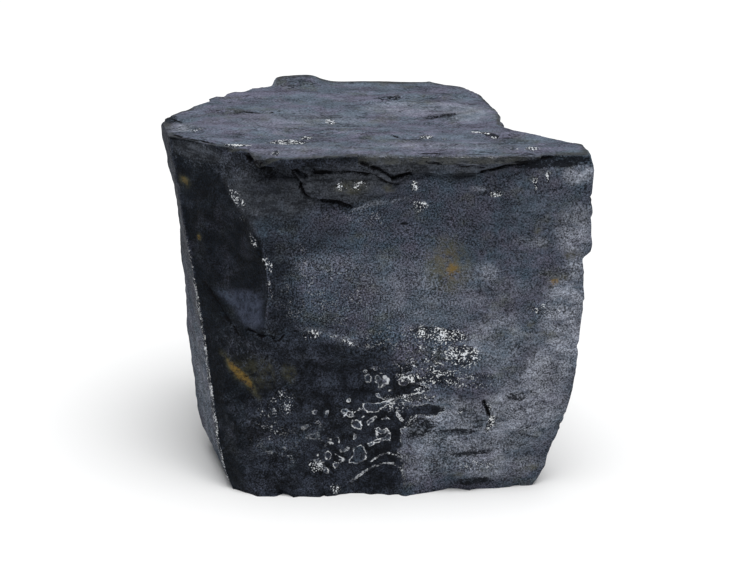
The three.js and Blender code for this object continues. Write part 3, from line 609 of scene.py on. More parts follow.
def box_grid():
    """The skin of a block of grid points, open below: which column, rank and level each vertex has, the
    quads of each face, turned to face outwards, and the ring of vertices round the foot."""
    columns, ranks, levels = COLUMNS, RANKS, len(LEVELS) - 1
    steps = [np.arange(count + 1) for count in (columns, ranks, levels)]
    i, j, k = np.meshgrid(*steps, indexing="ij")
    skin = (i == 0) | (i == columns) | (j == 0) | (j == ranks) | (k == levels)
    index = np.full(skin.shape, -1)
    index[skin] = np.arange(skin.sum())

    def quads(sheet):
        """The quads between the neighbouring rows and columns of a sheet of vertices."""
        ring = [sheet[:-1, :-1], sheet[1:, :-1], sheet[1:, 1:], sheet[:-1, 1:]]
        return np.stack(ring, axis=-1).reshape(-1, 4)

    faces = {
        "front": quads(index[:, 0, :]),
        "back": quads(index[:, -1, :])[:, ::-1],
        "left": quads(index[0, :, :])[:, ::-1],
        "right": quads(index[-1, :, :]),
        "top": quads(index[:, :, -1]),
    }
    foot = np.concatenate([index[:-1, 0, 0], index[-1, :-1, 0], index[:0:-1, -1, 0], index[0, :0:-1, 0]])
    return i[skin], j[skin], k[skin], faces, foot


def outward(points, quads):
    """Each vertex's normal: the sum of the cross products of its quads' diagonals, made one long."""
    across = points[quads[:, 2]] - points[quads[:, 0]]
    along = points[quads[:, 3]] - points[quads[:, 1]]
    facing = np.cross(across, along)
    normals = np.zeros_like(points)
    for corner, axis in itertools.product(range(4), range(3)):
        normals[:, axis] += np.bincount(quads[:, corner], facing[:, axis], len(points))
    return normals / np.maximum(np.linalg.norm(normals, axis=1), 1e-9)[:, None]


def turned(turn, roll, tip):
    """The matrix that tips about X, then rolls about Y, then turns about Z."""
    a, b, c = np.radians([turn, roll, tip])
    about_x = np.array([[1, 0, 0], [0, math.cos(c), -math.sin(c)], [0, math.sin(c), math.cos(c)]])
    about_y = np.array([[math.cos(b), 0, math.sin(b)], [0, 1, 0], [-math.sin(b), 0, math.cos(b)]])
    about_z = np.array([[math.cos(a), -math.sin(a), 0], [math.sin(a), math.cos(a), 0], [0, 0, 1]])
    return about_z @ about_y @ about_x


def scarred(points, scar, waver):
    """Points inside a squashed ball slide along the wall's inward direction until they leave the ball."""
    centre, radii, turn, roll, tip = scar
    matrix = turned(turn, roll, tip)
    inward = turned(turn, 0, 0) @ np.array([0, 1, 0])
    local = ((points - centre) @ matrix) / radii * (1 + waver)[:, None]
    way = (inward @ matrix) / radii
    half = local @ way
    inside = (local**2).sum(1) - 1
    root = half**2 - (way @ way) * inside
    slide = (-half + np.sqrt(np.maximum(root, 0))) / (way @ way)
    return points + np.where(inside < 0, slide, 0)[:, None] * inward


def chips():
    """Small scars at uneven places along each chipped edge, in the same places every time."""
    state = 7

    def random():
        """The next number from 0 to 1 of a seeded row."""
        nonlocal state
        state = state * 16807 % 2147483647
        return state / 2147483647

    found = []
    for start, end, count in CHIPPED_EDGES:
        for i in range(count):
            share = (i + 0.15 + 0.7 * random()) / count
            at = [a + (b - a) * share for a, b in zip(start, end)]
            size = CHIP_SIZES[0] + (CHIP_SIZES[1] - CHIP_SIZES[0]) * random() ** 2
            out = 1 + CHIP_SUNK * size / math.hypot(at[0], at[1])
            radii = (size * (1 + random()), size * (0.6 + 0.4 * random()), size * (0.6 + 0.8 * random()))
            facing = math.degrees(math.atan2(at[1], at[0]))
            found.append(((at[0] * out, at[1] * out, at[2]), radii, facing + 90, 60 * random() - 30, 0))
    return found


def bedded(points):
    """Height as the wavy beds count it."""
    return points[:, 2] + 1.5 * noise(points, (22, 22, 60), seed=41)


def walls_relief(points, out, share):
    """The back and right walls before their scars: the beds' ledges, thin laminae as steps in height, and
    flakes."""
    y, z = points[:, 1], points[:, 2]
    edges, stands = np.transpose(BEDS)
    sides_of_edges = np.repeat(edges[1:], 2) + np.tile([-BED_EDGE, BED_EDGE], len(BEDS) - 1)
    bed = np.interp(bedded(points), sides_of_edges, np.repeat(stands, 2)[1:-1])
    fade = 0.5 + 0.5 * noise(points, (40, 40, 30), seed=42)
    laminae = stepped(points, (60, 60, 5), seed=43) + 0.6 * stepped(points, (40, 40, 2.6), seed=44)
    flakes = 4.2 * (scooped(points, (38, 38, 30), seed=45) - 0.6)
    flakes = flakes + 1.8 * (scooped(points, (15, 15, 10), seed=46) - 0.6)
    height = ease(*WALLS_Y, y) * share * (fade * bed + 0.5 * laminae + np.minimum(flakes, 1.8))
    return points + (height * ease(TOP - 2, TOP - 14, z))[:, None] * out


def top_relief(points):
    """The top: slow swells, a rear lamina with a ragged front edge, low terraces drawn out along X, and the
    wedge of the last bed on the back rim."""
    flat = points * (1, 1, 0)
    x, y = points[:, 0], points[:, 1]
    swell = 0.5 * layered(flat, (52, 26, 9), seed=3, layers=3)
    ragged = 1.8 * layered(flat, (11, 8, 9), seed=5, layers=2)
    lamina = LAMINA_THICK * ease(-0.4, 0.4, inside_outline(x, y, LAMINA) + ragged)
    terraces = 0.32 * terraced(3.2 * (1 + layered(flat, (58, 15, 9), seed=8, layers=3)), 0.16)
    bed = LAST_BED
    wedge = ease(-0.5, 0.5, x - (bed["from_x"] + 0.5 * ragged)) * ease(bed["to_x"], bed["thins_from_x"], x)
    wedge = wedge * ease(bed["front_y"], bed["back_y"], y + ragged)
    return swell + lamina + terraces - 1 + bed["thick"] * wedge


def plates_relief(points, on_front):
    """How far each front point comes forward: the two plates and the lip, each as far as its own flat
    face."""
    x, y, z = points.T
    waver = 0.8 * noise(points, (5, 5, 5), seed=31) + 0.5 * noise(points, (2.4, 2.4, 2.4), seed=32)
    plates = []
    for outline, stand in (LOWER_PLATE, BROW_PLATE):
        plates.append((ease(-0.3, 0.3, inside_outline(x, z, outline) + 0.6 * waver), stand))
    on_lip = ease(-0.3, 0.3, z - LIP_LOW + 0.5 * waver) * ease(*LIP_LEFT_X, x) * ease(*LIP_RIGHT_X, x)
    plates.append((on_lip, np.interp(x, *np.transpose(LIP_FRONT))))
    front = y
    for covered, stand in plates:
        front = front + covered * np.minimum(0, stand + 0.3 * waver - front)
    return np.where(on_front, front - y, 0)


def cut_breaks(points):
    """Flat breaks: what lies above a break's plane, within its width, is pressed down onto the plane."""
    for point, facing, width in BREAKS.values():
        facing = np.asarray(facing) / np.linalg.norm(facing)
        apart = points - point
        above = apart @ facing
        aside = np.linalg.norm(apart - above[:, None] * facing, axis=1)
        points = points - (np.maximum(above, 0) * (aside < BREAK_REACH * width))[:, None] * facing
    return points


def stone_shape():
    """The stone's form: plan points at every level, then the relief of walls and top, the scars, the plates
    and the breaks. It gives the points, their quads, the ring of the foot and, point by point, where each
    lies."""
    column, rank, level, faces, foot = box_grid()
    quads = np.concatenate(list(faces.values()))
    u, v, z = column / COLUMNS, rank / RANKS, LEVELS[level]
    points = np.column_stack([plan_point(u, v, z), z])
    on_front, on_left, on_top = rank == 0, column == 0, level == len(LEVELS) - 1

    # the left face, near its front edge, is smoother than the other walls
    smooth_left = on_left * ease(0.75, 0.3, v)
    points = walls_relief(points, outward(points, quads) * (1, 1, 0), 1 - 0.85 * smooth_left)
    points[:, 2] += ease(TOP - 5, TOP, z) * top_relief(points)
    base = plan_point(u, v, np.zeros_like(z))
    foot_line = np.interp(base[:, 0], *np.transpose(FRONT_FOOT))
    points[:, 1] += on_front * ease(FOOT_TOP, 0, z) * (foot_line - base[:, 1])
    waver = SCAR_WAVER * layered(points, (13, 13, 13), seed=20, layers=3)
    before = points
    for scar in list(SCARS.values()) + chips():
        points = scarred(points, scar, waver)
    bitten = np.linalg.norm(points - before, axis=1)

    # the top follows its front rim, less and less from rank to rank
    forward = plates_relief(points, on_front)
    rim = np.zeros(COLUMNS + 1)
    rim[column[on_front & on_top]] = forward[on_front & on_top]
    points[:, 1] += forward
    points[:, 1] += np.clip(1 - rank / RIM_RANKS, 0, 1) ** 2 * (on_top & ~on_front) * rim[column]
    whole = points
    points = cut_breaks(points)
    pressed = np.linalg.norm(points - whole, axis=1)
    where = {
        "shares": (u, v, level / (len(LEVELS) - 1)),
        "front": on_front & ~on_left,
        "left": on_left & (v < LEFT_FACE_TO),
        "foot": level == 0,
        "at_corner": ease(0.1, 0, v),
        "from_rim": np.minimum(TOP_DEEP * np.minimum(v, 1 - v), TOP_WIDE * np.minimum(u, 1 - u)),
        "bitten": bitten,
        "snapped": ease(0.1, 0.6, pressed) * ease(TOP - 12, TOP - 8, z),
    }
    return points, faces, foot, where


# ---------------------------------------------------------------------------------------------------
# The stone's masks and its fine relief
# ---------------------------------------------------------------------------------------------------


def shares_of_sides(where, on_bed):
    """How far each point belongs to the front, to the left face and to the hidden walls, where it isn't on
    top."""
    front, left = where["front"] * (1 - on_bed), where["left"] * (1 - on_bed)
    return front, left, (1 - front) * (1 - left) * (1 - on_bed)


def right_of_facet(x, z):
    """How far to the right of the dark facet's edge each point lies."""
    return x - np.interp(z, *np.transpose(FACET_EDGE))


def drawn_marks(marks, u, v, bend_u, bend_v):
    """Each kind of mark of a table, drawn on its own plane and bent by noise as far as the table says."""
    return {name: marked(u + bend * bend_u, v + bend * bend_v, rows) for name, (bend, rows) in marks.items()}


def skin_depth(points, where, parts, facet, bent):
    """How far inside the weathered skin each point lies, in mm, and below 0 how far outside it: on the
    front the torn distance to the bare outlines, on the hidden walls what the scars left, whole on the
    top."""
    x, z = points[:, 0], points[:, 2]
    front, left, hidden, on_bed = parts
    torn = 1.6 * noise(points, (6.5, 6.5, 5), seed=55) + 1.1 * noise(points, (3.2, 3.2, 2.6), seed=56)
    torn = torn * (1 - 0.65 * front * ease(*CALM_X, x) * ease(*CALM_Z, z))
    skin_front = torn - np.maximum(inside_outline(*bent, BARE), inside_outline(*bent, BARE_BROW))
    skin_front = skin_front - facet * (8 + skin_front)
    skin_hidden = 2.5 - where["bitten"] + 6 * layered(points, (26, 26, 12), seed=57, layers=4)
    skin_side = np.minimum(5, 65 * where["shares"][1] + 1.3 * torn - 0.8)
    return front * skin_front + hidden * skin_hidden + on_bed * 7 + left * skin_side


def nearest_crack(points, parts, warp_x, warp_z):
    """How many crack widths away the nearest crack is: the drawn cracks of front and top, and the seams
    between the beds on the hidden walls, which open and close."""
    x, y, z = points.T
    front, _, hidden, on_bed = parts
    ragged_x = 0.2 * warp_x + 0.9 * noise(points, (2.6, 2.6, 2.6), seed=66)
    ragged_z = 0.2 * warp_z + 0.9 * noise(points, (2.6, 2.6, 2.6), seed=67)
    wavy = bedded(points) + 1.3 * noise(points, (9, 9, 9), seed=86)
    seam = np.min([np.abs(wavy - edge) for edge, _ in BEDS[1:]], axis=0) / BED_EDGE
    closed = ease(0.25, -0.2, noise(points, (17, 17, 9), seed=68))
    seam = seam + 0.8 * noise(points, (4, 4, 4), seed=69) + 5 * closed
    drawn = [distance_to_line(x + ragged_x, z + ragged_z, line) / width for line, width, _ in FRONT_CRACKS]
    away = [np.minimum(FAR, np.min(drawn, axis=0)) + FAR * (1 - front), seam + FAR * (1 - hidden)]
    for line, width, _ in TOP_CRACKS:
        bent = distance_to_line(x + 0.4 * warp_x, y + 0.6 * warp_z, line)
        away.append(bent / width + FAR * (1 - on_bed))
    return np.min(away, axis=0)


def stone_masks(points, normals, where):
    """What the finish follows, point by point. skin is in mm: above 0 where the weathered skin is left,
    below 0 where it has flaked off. isle is in mm too. crack is how many crack widths away the nearest
    crack is. The others run from 0 to 1."""
    x, y, z = points.T
    snapped = where["snapped"]
    on_bed = ease(0.55, 0.8, normals[:, 2]) * ease(TOP - 8, TOP - 4, z) * (1 - snapped)
    front, left, hidden = shares_of_sides(where, on_bed)
    parts = (front, left, hidden, on_bed)
    warp_x = 2.2 * noise(points, (9, 9, 9), seed=51) + 1.1 * noise(points, (4, 4, 4), seed=52)
    warp_z = 2.2 * noise(points, (9, 9, 9), seed=53) + 1.1 * noise(points, (4, 4, 4), seed=54)
    bent = (x + 0.5 * warp_x, z + 0.5 * warp_z)
    facet = front * ease(1.2, -1.2, right_of_facet(x, z) + 1.5 * noise(points, (7, 7, 7), seed=50))
    skin = skin_depth(points, where, parts, facet, bent)
    isle = np.max([inside_outline(x, z, outline) for outline in ISLANDS], axis=0)

    # what noise alone paints on the walls that have no drawn marks
    streaks = np.maximum(0, 0.15 + 0.9 * layered(points, (8, 8, 40), seed=65, layers=3))
    blotch = layered(points, (34, 34, 20), seed=60, layers=4)
    old_rust = ease(0.42, 0.75, layered(points, (24, 24, 17), seed=61, layers=3))
    old_crust = 0.85 * ease(0.22, 0.62, layered(points, (22, 22, 14), seed=62, layers=3))
    old_rims = ease(0.1, 0.6, layered(points, (30, 30, 24), seed=63, layers=2))
    rim_of_top = ease(3.5, 0.5, where["from_rim"] + 1.5 * noise(points, (8, 8, 8), seed=64))

    on_front = drawn_marks(FRONT_MARKS, x, z, warp_x, warp_z)
    on_top = drawn_marks(TOP_MARKS, x, y, warp_x, 0)
    bloom = front * ease(-1.5, 0.5, skin) * on_front["bloom"] + on_bed * on_top["bloom"]
    shade = front * on_front["shade"] + on_bed * on_top["shade"] + hidden * ease(0, -0.6, blotch)
    crust = front * on_front["crust"] + on_bed * on_top["crust"] + hidden * old_crust
    corner_crust = np.maximum(0.8 * where["at_corner"] * ease(*LEFT_CRUST_Z, z), 0.6 * old_crust)
    slate = front * np.maximum(1 - facet, ease(*SLATE_Z, z)) * on_front["slate"]
    return {
        "skin": skin,
        "isle": front * isle - FAR * (1 - front),
        "crack": nearest_crack(points, parts, warp_x, warp_z),
        "on_bed": on_bed,
        "facet": facet,
        "patch": facet * ease(-0.5, 3, inside_outline(*bent, FACET_PATCH)),
        "islands": front * (1 - facet) * on_front["islands"],
        "slate": slate + 0.5 * snapped * (1 - on_bed),
        "rim_of_top": on_bed * rim_of_top + 0.9 * snapped * (1 - on_bed),
        "bloom": bloom + left * streaks + hidden * ease(-0.1, 0.7, blotch),
        "shade": shade + snapped * np.maximum(1.5 * ease(*SNAPPED_X, x), 0.3 * front),
        "dim": front * (1 - facet) * on_front["dim"] + 0.75 * left * ease(*LEFT_DIM_Z, z),
        "rust": front * on_front["rust"] + hidden * old_rust,
        "crust": crust + left * corner_crust,
        "rims": front * on_front["rims"] + hidden * old_rims,
        "smooth": front * ease(*SMOOTH_X, x),
        "mottle": front * on_front["mottle"] + hidden,
    }


def roughened(points, normals, masks, where):
    """The fine relief of broken stone, along the normals: hackle and ledges where it is bare, grit and
    broad swells on the skin, the skin's own thickness, laminae on the top, and the open cracks."""
    x, y, z = points.T
    on_bed, facet = masks["on_bed"], masks["facet"]
    front, left, hidden = shares_of_sides(where, on_bed)
    bare = ease(0.4, -0.4, masks["skin"])
    steps = stepped(points, (26, 26, 4), seed=71)
    hackle = 0.8 * np.minimum(scooped(points, (13, 13, 8), seed=70) - 0.7, 0.3) + 0.3 * steps
    grit = 0.12 * noise(points, (2.4, 2.4, 2.0), seed=72) + 0.1 * noise(points, (4.6, 4.6, 4), seed=73)
    swell = 0.6 * layered(points, (42, 42, 30), seed=74, layers=3)
    ripple = 0.5 * layered(points, (20, 20, 30), seed=76, layers=3)
    height = grit + hidden * (0.5 * creased(points, (11, 11, 7), seed=75) + 0.3 * steps)
    # the hidden walls break in ragged ledges, one over the other, and their seams gape
    ledges = 0.95 * (terraced(2.6 * (1.5 + layered(points, (34, 34, 11), seed=85, layers=4)), 0.14) - 4.3)
    ledges = ledges - 0.7 * ease(1.5, 0, masks["crack"])
    height = height + hidden * (0.35 + 0.65 * ease(*LEDGES_Y, y)) * ease(TOP, TOP - 5, z) * ledges
    height = height + front * (1 - facet) * ((1 - bare) * swell + bare * hackle) + facet * ripple
    # a slate slab stands over the facet, and the stone crumbles under the left of the brow
    high = front * ease(*SLAB_X, x) * ease(*SLAB_Z, z)
    slab = ease(-0.7, 0.7, right_of_facet(x, z) + 1.4 * noise(points, (6, 6, 6), seed=83))
    height = height + high * slab * (0.5 + 0.35 * stepped(points, (16, 16, 2.8), seed=84))
    crumbs = np.maximum(front * ease(*CRUMBS_X, x) * ease(*CRUMBS_Z, z), where["snapped"])
    height = height + crumbs * np.minimum(1.3 * (scooped(points, (6.5, 6.5, 4), seed=81) - 0.7), 0.5)
    # the left face is finely creased, the skin stands out of the bare stone, and the top is laminated
    height = height + left * (0.3 * creased(points, (7, 7, 5), seed=82) + 0.1 * steps)
    height = height + SKIN_THICK * (1 - bare) + 0.2 * on_bed * stepped(points, (24, 7, 7), seed=77)
    for cracks, u, v, side in ((FRONT_CRACKS, x, z, front), (TOP_CRACKS, x, y, on_bed)):
        for line, width, depth in cracks:
            height = height - side * depth * ease(1.3, 0, distance_to_line(u, v, line) / width)
    points = points + (height * ease(0, 3, z))[:, None] * normals
    # the foot is chipped back unevenly
    chipped = 3.2 * ease(0.05, 0.7, layered(points, (22, 22, 50), seed=79, layers=3)) * ease(9, 0, z)
    return points - (chipped[:, None] * normals) * (1, 1, 0)


def wear_edges(points, quads):
    """Each point moves towards the middle of its neighbours, more where it stands out as an edge."""
    here, there = neighbours(quads)
    count = np.bincount(here, minlength=len(points))
    middle = [np.bincount(here, points[there, axis], len(points)) / count for axis in range(3)]
    move = np.column_stack(middle) - points
    return points + WEAR * ease(0.05, 0.5, np.linalg.norm(move, axis=1))[:, None] * move


def standing_out(points, normals, quads):
    """How far each point stands out of (or, below 0, sinks into) the mean of its neighbours, over their
    distance, evened out once between neighbours."""
    here, there = neighbours(quads)
    away = points[here] - points[there]
    rise = (away * normals[here]).sum(1) / np.maximum(np.linalg.norm(away, axis=1), 0.2)
    count = np.bincount(here, minlength=len(points))
    mean = np.bincount(here, rise, len(points)) / count
    return (mean + np.bincount(here, mean[there], len(points)) / count) / 2


def stone_surface():
    """The whole surface: the form, then its masks, then the fine relief that follows them, and last the wear
    on its edges. The foot stays flat on the floor."""
    points, faces, foot, where = stone_shape()
    quads = np.concatenate(list(faces.values()))
    normals = outward(points, quads)
    masks = stone_masks(points, normals, where)
    points = wear_edges(roughened(points, normals, masks, where), quads)
    points[where["foot"], 2] = 0
    # how far each point stands out or sinks in: the finish lightens the edges with wear and paints shade into
    # the hollows
    masks["edge_wear_and_hollow_shade"] = standing_out(points, outward(points, quads), quads)
    return points, faces, foot, where["shares"], masks


# ---------------------------------------------------------------------------------------------------
# The stone's mesh
# ---------------------------------------------------------------------------------------------------


def flat_map(name, shares):
    """A face's place on the flat map: its two shares of the block, across and up, laid out in its chart."""
    u, v, w = shares
    across, up = {
        "front": (u, w), "back": (1 - u, w), "left": (1 - v, w), "right": (v, w),
        "top": (u, v), "base": (u, v),
    }[name]
    left, bottom, width, height = CHARTS[name]
    return np.column_stack([left + width * across, bottom + height * up])


def add_object(name, data):
    """A new object that shows some data, in the scene."""
    made = bpy.data.objects.new(name, data)
    bpy.context.scene.collection.objects.link(made)
    return made


def make_stone():
    """The stone's surface as one closed mesh, centred over its base: the quads of its five faces and one
    face below, with the flat map, the masks as attributes, and edges sharp where the stone turns
    steeply."""
    points, faces, foot, shares, masks = stone_surface()
    low, high = points.min(0), points.max(0)
    points = points - ((low[0] + high[0]) / 2, (low[1] + high[1]) / 2, 0)
    base = foot[::-1]
    mesh = bpy.data.meshes.new("stone")
    quads = np.concatenate(list(faces.values()))
    mesh.from_pydata(points * MM, [], quads.tolist() + [base.tolist()])
    laid_out = [flat_map(name, shares)[face.ravel()] for name, face in faces.items()]
    laid_out.append(flat_map("base", shares)[base])
    mesh.uv_layers.new(name="OFBake").uv.foreach_set("vector", np.concatenate(laid_out).ravel())
    for name, values in masks.items():
        mesh.attributes.new(name, "FLOAT", "POINT").data.foreach_set("value", values.astype(np.float32))
    mesh.polygons.foreach_set("use_smooth", np.ones(len(mesh.polygons), bool))
    mesh.set_sharp_from_angle(angle=math.radians(SHARP_ANGLE))
    mesh.update()
    return add_object("stone", mesh)


# ---------------------------------------------------------------------------------------------------
# Shader tools
# ---------------------------------------------------------------------------------------------------


class Graph:
    """Adds nodes to one tree. A value given for an input is set on it, and a socket given for it is
    linked."""

    def __init__(self, tree):
        """The tree that gets the nodes."""
        self.tree = tree

    def node(self, kind, inputs=None, **settings):
        """A new node, with its settings, and its inputs as {name or number: value or socket}."""
        made = self.tree.nodes.new(kind)
        for name, value in settings.items():
            setattr(made, name, value)
        for key, value in (inputs or {}).items():
            self.put(made.inputs[key], value)
        return made

    def put(self, socket, value):
        """Links a socket to an input, or sets a plain value on it. A plain colour is red, green and
        blue."""
        if isinstance(value, bpy.types.NodeSocket):
            self.tree.links.new(value, socket)
        else:
            socket.default_value = (*value, 1) if socket.type == "RGBA" else value

    def math(self, operation, *values, clamp=False):
        """One step of arithmetic on numbers."""
        inputs = dict(enumerate(values))
        return self.node("ShaderNodeMath", inputs, operation=operation, use_clamp=clamp).outputs[0]

    def add(self, first, second):
        """The two together."""
        return self.math("ADD", first, second)

    def less(self, first, second):
        """The first less the second."""
        return self.math("SUBTRACT", first, second)

    def times(self, first, second):
        """The product of the two."""
        return self.math("MULTIPLY", first, second)

    def most(self, first, second):
        """The greater of the two."""
        return self.math("MAXIMUM", first, second)

    def around(self, value, height):
        """The value less one half, times height."""
        return self.math("MULTIPLY_ADD", value, height, -0.5 * height)

    def total(self, first, *others):
        """The sum of values times their weights, each given as (value, weight)."""
        made = self.times(*first)
        for value, weight in others:
            made = self.math("MULTIPLY_ADD", value, weight, made)
        return made

    def lerp(self, share, first, second):
        """The first where share is 0, the second where it is 1, and a straight blend between."""
        return self.math("MULTIPLY_ADD", share, self.less(second, first), first)

    def ease(self, value, low, high, start=0.0, end=1.0):
        """start below low, end above high, and a smooth S between them."""
        inputs = {"Value": value, "From Min": low, "From Max": high, "To Min": start, "To Max": end}
        return self.node("ShaderNodeMapRange", inputs, interpolation_type="SMOOTHSTEP").outputs[0]

    def noise(self, place, scale, detail=2.0, roughness=0.5):
        """Noise from 0 to 1, about scale cells to a unit of place."""
        inputs = {"Vector": place, "Scale": scale, "Detail": detail, "Roughness": roughness}
        return self.node("ShaderNodeTexNoise", inputs).outputs["Fac"]

    def moved(self, place, scale=(1, 1, 1), shift=(0, 0, 0)):
        """A place scaled along each axis and then shifted."""
        return self.node("ShaderNodeMapping", {"Vector": place, "Scale": scale, "Location": shift}).outputs[0]

    def bent(self, place, value):
        """A place shifted by the same value along all three axes."""
        shift = self.node("ShaderNodeCombineXYZ", {0: value, 1: value, 2: value}).outputs[0]
        return self.node("ShaderNodeVectorMath", {0: place, 1: shift}).outputs[0]

    def pattern(self, place, cells, detail, roughness=0.5, scale=None, shift=None, span=None):
        """Noise with that many cells to a unit of a place, which may be scaled and shifted first, and eased
        between the first two values of span onto its last two."""
        if scale or shift:
            place = self.moved(place, scale or (1, 1, 1), shift or (0, 0, 0))
        made = self.noise(place, cells, detail, roughness)
        return self.ease(made, *span) if span else made

    def mask(self, name):
        """A mask of the mesh."""
        return self.node("ShaderNodeAttribute", attribute_name=name).outputs["Fac"]

    def blend(self, share, first, second, how="MIX"):
        """Two colours, the second laid over the first by its share."""
        made = self.node("ShaderNodeMix", data_type="RGBA", blend_type=how)
        self.put(made.inputs["Factor"], share)
        for name, value in (("A", first), ("B", second)):
            self.put([s for s in made.inputs if s.name == name and s.type == "RGBA"][0], value)
        return [s for s in made.outputs if s.type == "RGBA"][0]

    def shaded(self, colour, value):
        """A colour made lighter or darker: multiplied by a value."""
        grey = self.node("ShaderNodeCombineColor", {0: value, 1: value, 2: value}).outputs[0]
        return self.blend(1.0, colour, grey, "MULTIPLY")


def group(name, inputs, outputs):
    """An empty node group. It takes a Place in mm and named numbers, given as {name: value}, and puts out
    named numbers."""
    tree = bpy.data.node_groups.new(name, "ShaderNodeTree")
    tree.interface.new_socket(name="Place", in_out="INPUT", socket_type="NodeSocketVector")
    for label, value in inputs.items():
        number = tree.interface.new_socket(name=label, in_out="INPUT", socket_type="NodeSocketFloat")
        number.default_value = value
    for label in outputs:
        tree.interface.new_socket(name=label, in_out="OUTPUT", socket_type="NodeSocketFloat")
    graph = Graph(tree)
    return graph, graph.node("NodeGroupInput").outputs, graph.node("NodeGroupOutput").inputs


def ragged_edge_group():
    """A distance in mm from a drawn edge, given back with the edge torn by noise, from 3 mm down."""
    graph, given, result = group("ragged edge", {"Distance": 0.0, "Tear": 1.0}, ["Distance"])
    coarse = graph.around(graph.noise(given["Place"], 0.4, 2.0, 0.6), 4.0)
    fine = graph.pattern(given["Place"], 1.1, 2.0, 0.6, scale=(1, 1, 1.3), shift=(40, 0, 0))
    torn = graph.add(coarse, graph.around(fine, 2.6))
    graph.put(result["Distance"], graph.math("MULTIPLY_ADD", torn, given["Tear"], given["Distance"]))
    return graph.tree


def flecks_group():
    """White crust: specks where noise passes a level that falls as the density rises, and lace around them
    along the edges of bent cells."""
    graph, given, result = group("flecks", {"Density": 0.0, "Size": 0.6}, ["Mask"])
    clumps = graph.around(graph.pattern(given["Place"], 0.26, 2.0, shift=(0, 70, 0)), 0.55)
    grains = graph.noise(given["Place"], graph.math("DIVIDE", 1.0, given["Size"]), 2.0, 0.6)
    level = graph.math("MULTIPLY_ADD", given["Density"], -0.2, 0.75)
    above = graph.less(graph.add(grains, clumps), level)
    specks = graph.ease(above, -0.005, 0.02)
    bent = graph.bent(given["Place"], graph.around(graph.noise(given["Place"], 0.5), 3.0))
    cells = graph.node("ShaderNodeTexVoronoi", {"Vector": bent, "Scale": 0.55}, feature="DISTANCE_TO_EDGE")
    lace = graph.times(graph.ease(cells.outputs["Distance"], 0.12, 0.04), graph.ease(above, -0.1, -0.03))
    graph.put(result["Mask"], graph.most(specks, lace))
    return graph.tree


def islands_group():
    """Islands of skin left on bare stone, from 1 to 6 mm across: the distance in mm into the nearest
    island, taken from noise as its height above a level over its slope along X and Z."""
    graph, given, result = group("islands", {"Level": 0.55}, ["Distance"])
    bent = graph.bent(given["Place"], graph.around(graph.noise(given["Place"], 0.5), 3.0))
    step, squeeze, deep, least_slope = 0.2, 1.25, 11, 0.03
    height, aside, above = (
        graph.noise(graph.moved(bent, (1, 1, squeeze), shift), 0.27)
        for shift in ((0, 0, deep), (step, 0, deep), (0, 0, deep + squeeze * step))
    )
    rises = [graph.math("DIVIDE", graph.less(other, height), step) for other in (aside, above)]
    slope = graph.math("SQRT", graph.add(*(graph.math("POWER", rise, 2.0) for rise in rises)))
    into = graph.math("DIVIDE", graph.less(height, given["Level"]), graph.most(slope, least_slope))
    graph.put(result["Distance"], into)
    return graph.tree


def mottling_group():
    """Light and dark around 1 in every size from 12 mm clouds to 0.5 mm grains, and the fine grain by
    itself."""
    graph, given, result = group("mottling", {"Clouds": 2.0, "Grains": 2.0}, ["Shade", "Height"])
    clouds = graph.pattern(given["Place"], 0.085, 5.0, 0.68, scale=(1, 1, 1.5), shift=(0, 0, 30))
    grains = graph.noise(given["Place"], 1.4, 2.0, 0.75)
    shade = graph.math("MULTIPLY_ADD", graph.less(clouds, 0.5), given["Clouds"], 1.0)
    shade = graph.math("MULTIPLY_ADD", graph.less(grains, 0.5), given["Grains"], shade)
    graph.put(result["Shade"], graph.most(shade, 0.2))
    graph.put(result["Height"], grains)
    return graph.tree


def seams_group():
    """The bedding plane's thin dark seams: wavy lines along X, each where a drawn-out noise passes its
    middle."""
    graph, given, result = group("seams", {}, ["Mask"])
    lines = graph.pattern(given["Place"], 1.0, 5.0, 0.62, scale=(0.03, 0.075, 0.2), shift=(3, 7, 0))
    thin = graph.ease(graph.math("ABSOLUTE", graph.around(lines, 1.0)), 0.016, 0.0)
    broken = graph.pattern(given["Place"], 0.05, 3.0, span=(0.42, 0.56))
    graph.put(result["Mask"], graph.times(thin, broken))
    return graph.tree


# ---------------------------------------------------------------------------------------------------
# The stone's finish
# ---------------------------------------------------------------------------------------------------


